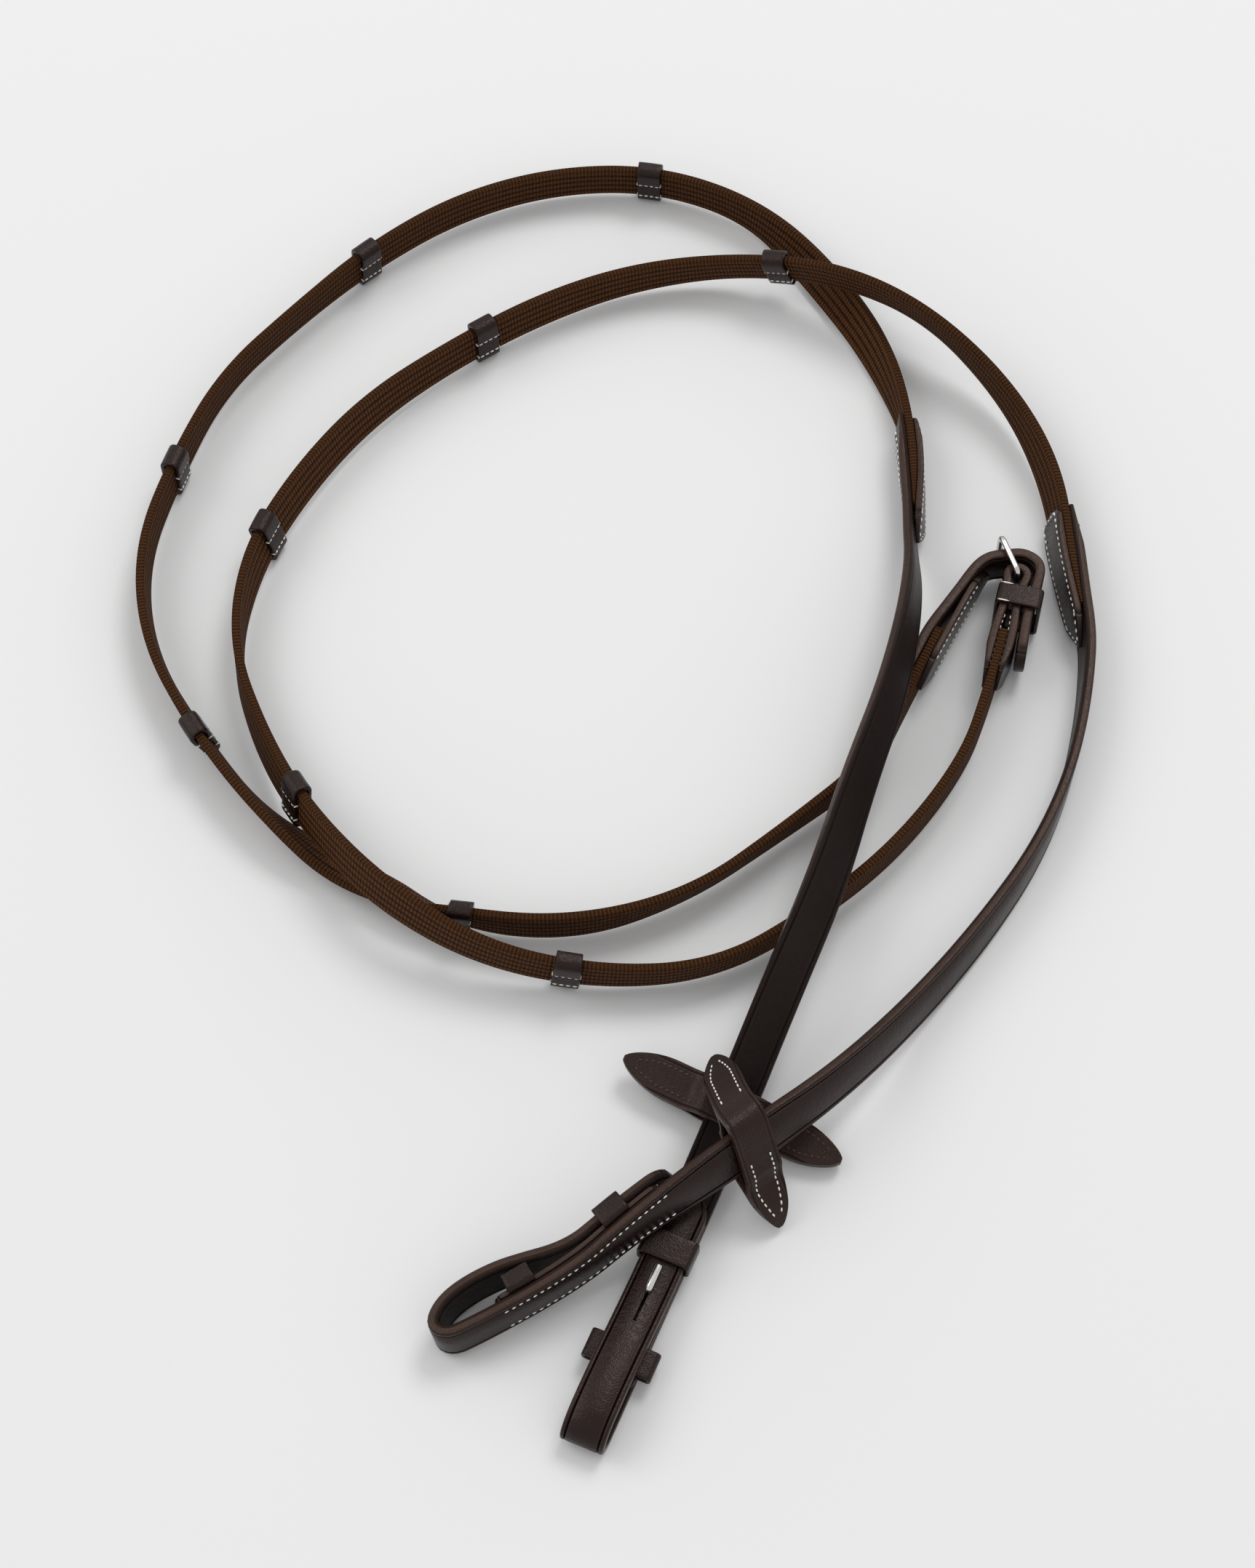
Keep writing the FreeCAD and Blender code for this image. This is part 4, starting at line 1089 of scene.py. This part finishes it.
def leaf_thread(leaf, side):
    bm = bmesh.new()
    for end in (0, 1):
        for edge in (-1, 1):
            for k in range(LEAF_STITCHES):
                along = LEAF_FIRST + k * LEAF_PITCH
                x = along if end == 0 else leaf.length - along
                here, next_one = leaf_width(along, leaf.length), leaf_width(along + 1, leaf.length)
                y = edge * max(min(leaf_width(x, leaf.length) - 3.0, 4.2), 0.9)
                z = side * (stand_off(x - leaf.tunnel) + LEAF_T)
                lean = edge * math.atan(next_one - here) * (1 - 2 * end)
                sew(bm, x, y, z, lean, LEAF_STITCH_L)
    return bm


def leaf_layer(name, leaf, side, body, stitching):
    lay_down(leaf_blank(leaf, side), name + "_leather", leaf, stop_leather, body, [name])
    lay_down(leaf_thread(leaf, side), name + "_thread", leaf, stitching, body)


print("stitches on one face of a leaf:", 4 * LEAF_STITCHES)

# %% The two rein stops
flat_rows = [Vector((LOWER_SKEW * k * LEAF_L / 8, k * LEAF_L / 8, 0)) for k in range(-4, 5)]
draped_rows = [Vector(r) for r in (
    (13, 15, -33), (9, 15.5, -24), (5.5, 15.5, -14), (2.5, 15, -6), (1, 11, -0.5), (0.5, 5, 0),
    (-0.3, -3, 0), (-1, -11, 0.5), (-2, -19, 3), (-2.7, -26, 5), (-3.4, -32, 4))]
lower, upper = Leaf(first, LOWER_STOP_S, flat_rows), Leaf(second, UPPER_STOP_S, draped_rows)
leaf_layer("lower_stop_top_layer", lower, 1, "billet_rein_stop", dark_thread)
leaf_layer("lower_stop_back_layer", lower, -1, "billet_rein_stop", dark_thread)
leaf_layer("upper_stop_top_layer", upper, -1, "buckle_rein_stop", thread_finish)
leaf_layer("upper_stop_back_layer", upper, 1, "buckle_rein_stop", dark_thread)
print("rein stops: %.0f and %.0f mm along their leaves" % (lower.length, upper.length))

# %% [markdown]
# ## Metal
# The buckle and the hook studs are bent from steel rod.  Cylinders joined at
# the corners would show seams, so each is one curve with a round bevel, capped
# at its ends unless it closes on itself.  The tongue keeps its own solid, since
# hardly any of it shows.

# %% Rod
def rod(name, points, radius, body, node, cyclic=False):
    curve = bpy.data.curves.new(name, "CURVE")
    curve.dimensions = "3D"
    curve.resolution_u = 10
    curve.bevel_depth = radius * MM
    curve.bevel_resolution = 6
    curve.use_fill_caps = not cyclic
    spline = curve.splines.new("NURBS")
    spline.points.add(len(points) - 1)
    for knot, place in zip(spline.points, points):
        knot.co = (*(place * MM), 1)
    spline.order_u = 3
    spline.use_endpoint_u = not cyclic
    spline.use_cyclic_u = cyclic
    holder = bpy.data.objects.new(name, curve)
    mesh = bpy.data.meshes.new_from_object(holder)
    bpy.data.objects.remove(holder)
    bpy.data.curves.remove(curve)
    mesh.shade_smooth()
    mesh.set_sharp_from_angle(angle=math.radians(60))
    mesh.materials.clear()
    mesh.materials.append(steel)
    piece = set_out(name, mesh)
    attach(piece, body)
    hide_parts(node)
    return piece


print("rod is bent from:", steel.name)

# %% Hook studs
STUD_R, STUD_NOSE, STUD_OVER_STRAP = 1.4, 7.5, 0.4


def hook_stud(name, route, side):
    start = LINING_TOP + SEAM
    origin, ahead, across, through = route.frame(STUD_S)
    out = through * side
    top = TUCK + LEATHER_T / 2 + STUD_R + STUD_OVER_STRAP
    rows = [(0, start), (0, top - 3), (0, top - 0.2), (2.5, top), (STUD_NOSE - 1, top),
            (STUD_NOSE + STUD_R, top - 0.1)]
    points = [origin + ahead * a + out * b for a, b in rows]
    rod(name + "_hook", points, STUD_R, "reins", name)
    print("%s: stands %.1f mm above its strap's middle" % (name, top + STUD_R))


hook_stud("billet_rein_hook_stud", first, 1)
hook_stud("buckle_rein_hook_stud", second, -1)

# %% Buckle frame and tongue
BUCKLE_TURN, BUCKLE_REACH, CORNER = 32.0, 17.7, 3.0
left = bar_across.cross(bar_ahead)
turned = math.radians(BUCKLE_TURN)
reach = bar_ahead * math.cos(turned) + left * math.sin(turned)
half = HALF_W + BUCKLE_FIT + ROD_R
near, far = bar - bar_across * half, bar + bar_across * half
corners = [near, far, far + reach * BUCKLE_REACH, near + reach * BUCKLE_REACH]
points = []
for k, corner in enumerate(corners):
    before = (corners[k - 1] - corner).normalized()
    after = (corners[(k + 1) % 4] - corner).normalized()
    points += [corner + before * CORNER * 1.6, corner + before * CORNER * 0.5,
               corner + after * CORNER * 0.5, corner + after * CORNER * 1.6]
rod("buckle_frame_rod", points, ROD_R, "buckle", "buckle_frame", cyclic=True)
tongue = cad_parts["buckle_tongue"]
tongue.data.materials.clear()
tongue.data.materials.append(steel)
print("buckle: %.1f mm wide inside" % (2 * (half - ROD_R)))

# %% [markdown]
# ## Floor, light and camera
# The reins lie on a pale, even floor.  A small lamp would draw hard shadows of
# every strap, so a wide disc high on the right gives the soft shadow that falls
# to the left and towards the camera, and a wider one on the left fills it.

# %% Floor
bm = bmesh.new()
bmesh.ops.create_grid(bm, x_segments=1, y_segments=1, size=6)
mesh = bpy.data.meshes.new("floor")
bm.to_mesh(mesh)
bm.free()
floor = set_out("floor", mesh)
paper, tree, shader = new_finish("pale_floor")
shader.inputs["Base Color"].default_value = (0.765, 0.765, 0.765, 1)
shader.inputs["Roughness"].default_value = 0.9
shader.inputs["Specular IOR Level"].default_value = 0.1
mesh.materials.append(paper)
floor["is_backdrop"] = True
print("floor: %.0f m wide" % floor.dimensions.x)

# %% Lights
def soft_light(name, place, size, power):
    lamp = bpy.data.lights.new(name, "AREA")
    lamp.shape = "DISK"
    lamp.size = size
    lamp.energy = power
    holder = set_out(name, lamp)
    holder.location = place
    holder.rotation_mode = "QUATERNION"
    holder.rotation_quaternion = (-Vector(place)).to_track_quat("-Z", "Y")


soft_light("key", (1.5, 2.5, 4.2), 2.2, 80)
soft_light("fill", (-3.6, 1.2, 3.6), 3.4, 60)
world = bpy.data.worlds.new("studio")
bpy.context.scene.world = world
world.use_nodes = True
sky = world.node_tree.nodes["Background"]
sky.inputs["Color"].default_value = (1, 1, 1, 1)
sky.inputs["Strength"].default_value = 0.72
bpy.context.scene.view_settings.view_transform = "Standard"
print("lights:", [lamp.name for lamp in bpy.data.lights])

# %% Camera
CAMERA_PLACE, CAMERA_AIM = Vector((0.006, -0.613, 1.0392)), Vector((0.006, -0.013, 0))
camera = set_out("camera", bpy.data.cameras.new("camera"))
camera.data.sensor_width = 36
camera.data.lens = 72.13
camera.location = CAMERA_PLACE
camera.rotation_mode = "QUATERNION"
camera.rotation_quaternion = (CAMERA_AIM - CAMERA_PLACE).to_track_quat("-Z", "Y")
bpy.context.scene.camera = camera
print("camera: %.2f m from what it looks at" % (CAMERA_AIM - CAMERA_PLACE).length)

# %% [markdown]
# ## Visual size
# The box round everything that renders, leaving out the floor, is printed in millimetres.

# %% Write the sizes and finish
bpy.context.view_layer.update()
low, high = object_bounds()
print("visual box in mm:", [round((h - l) * 1000, 1) for l, h in zip(low, high)])
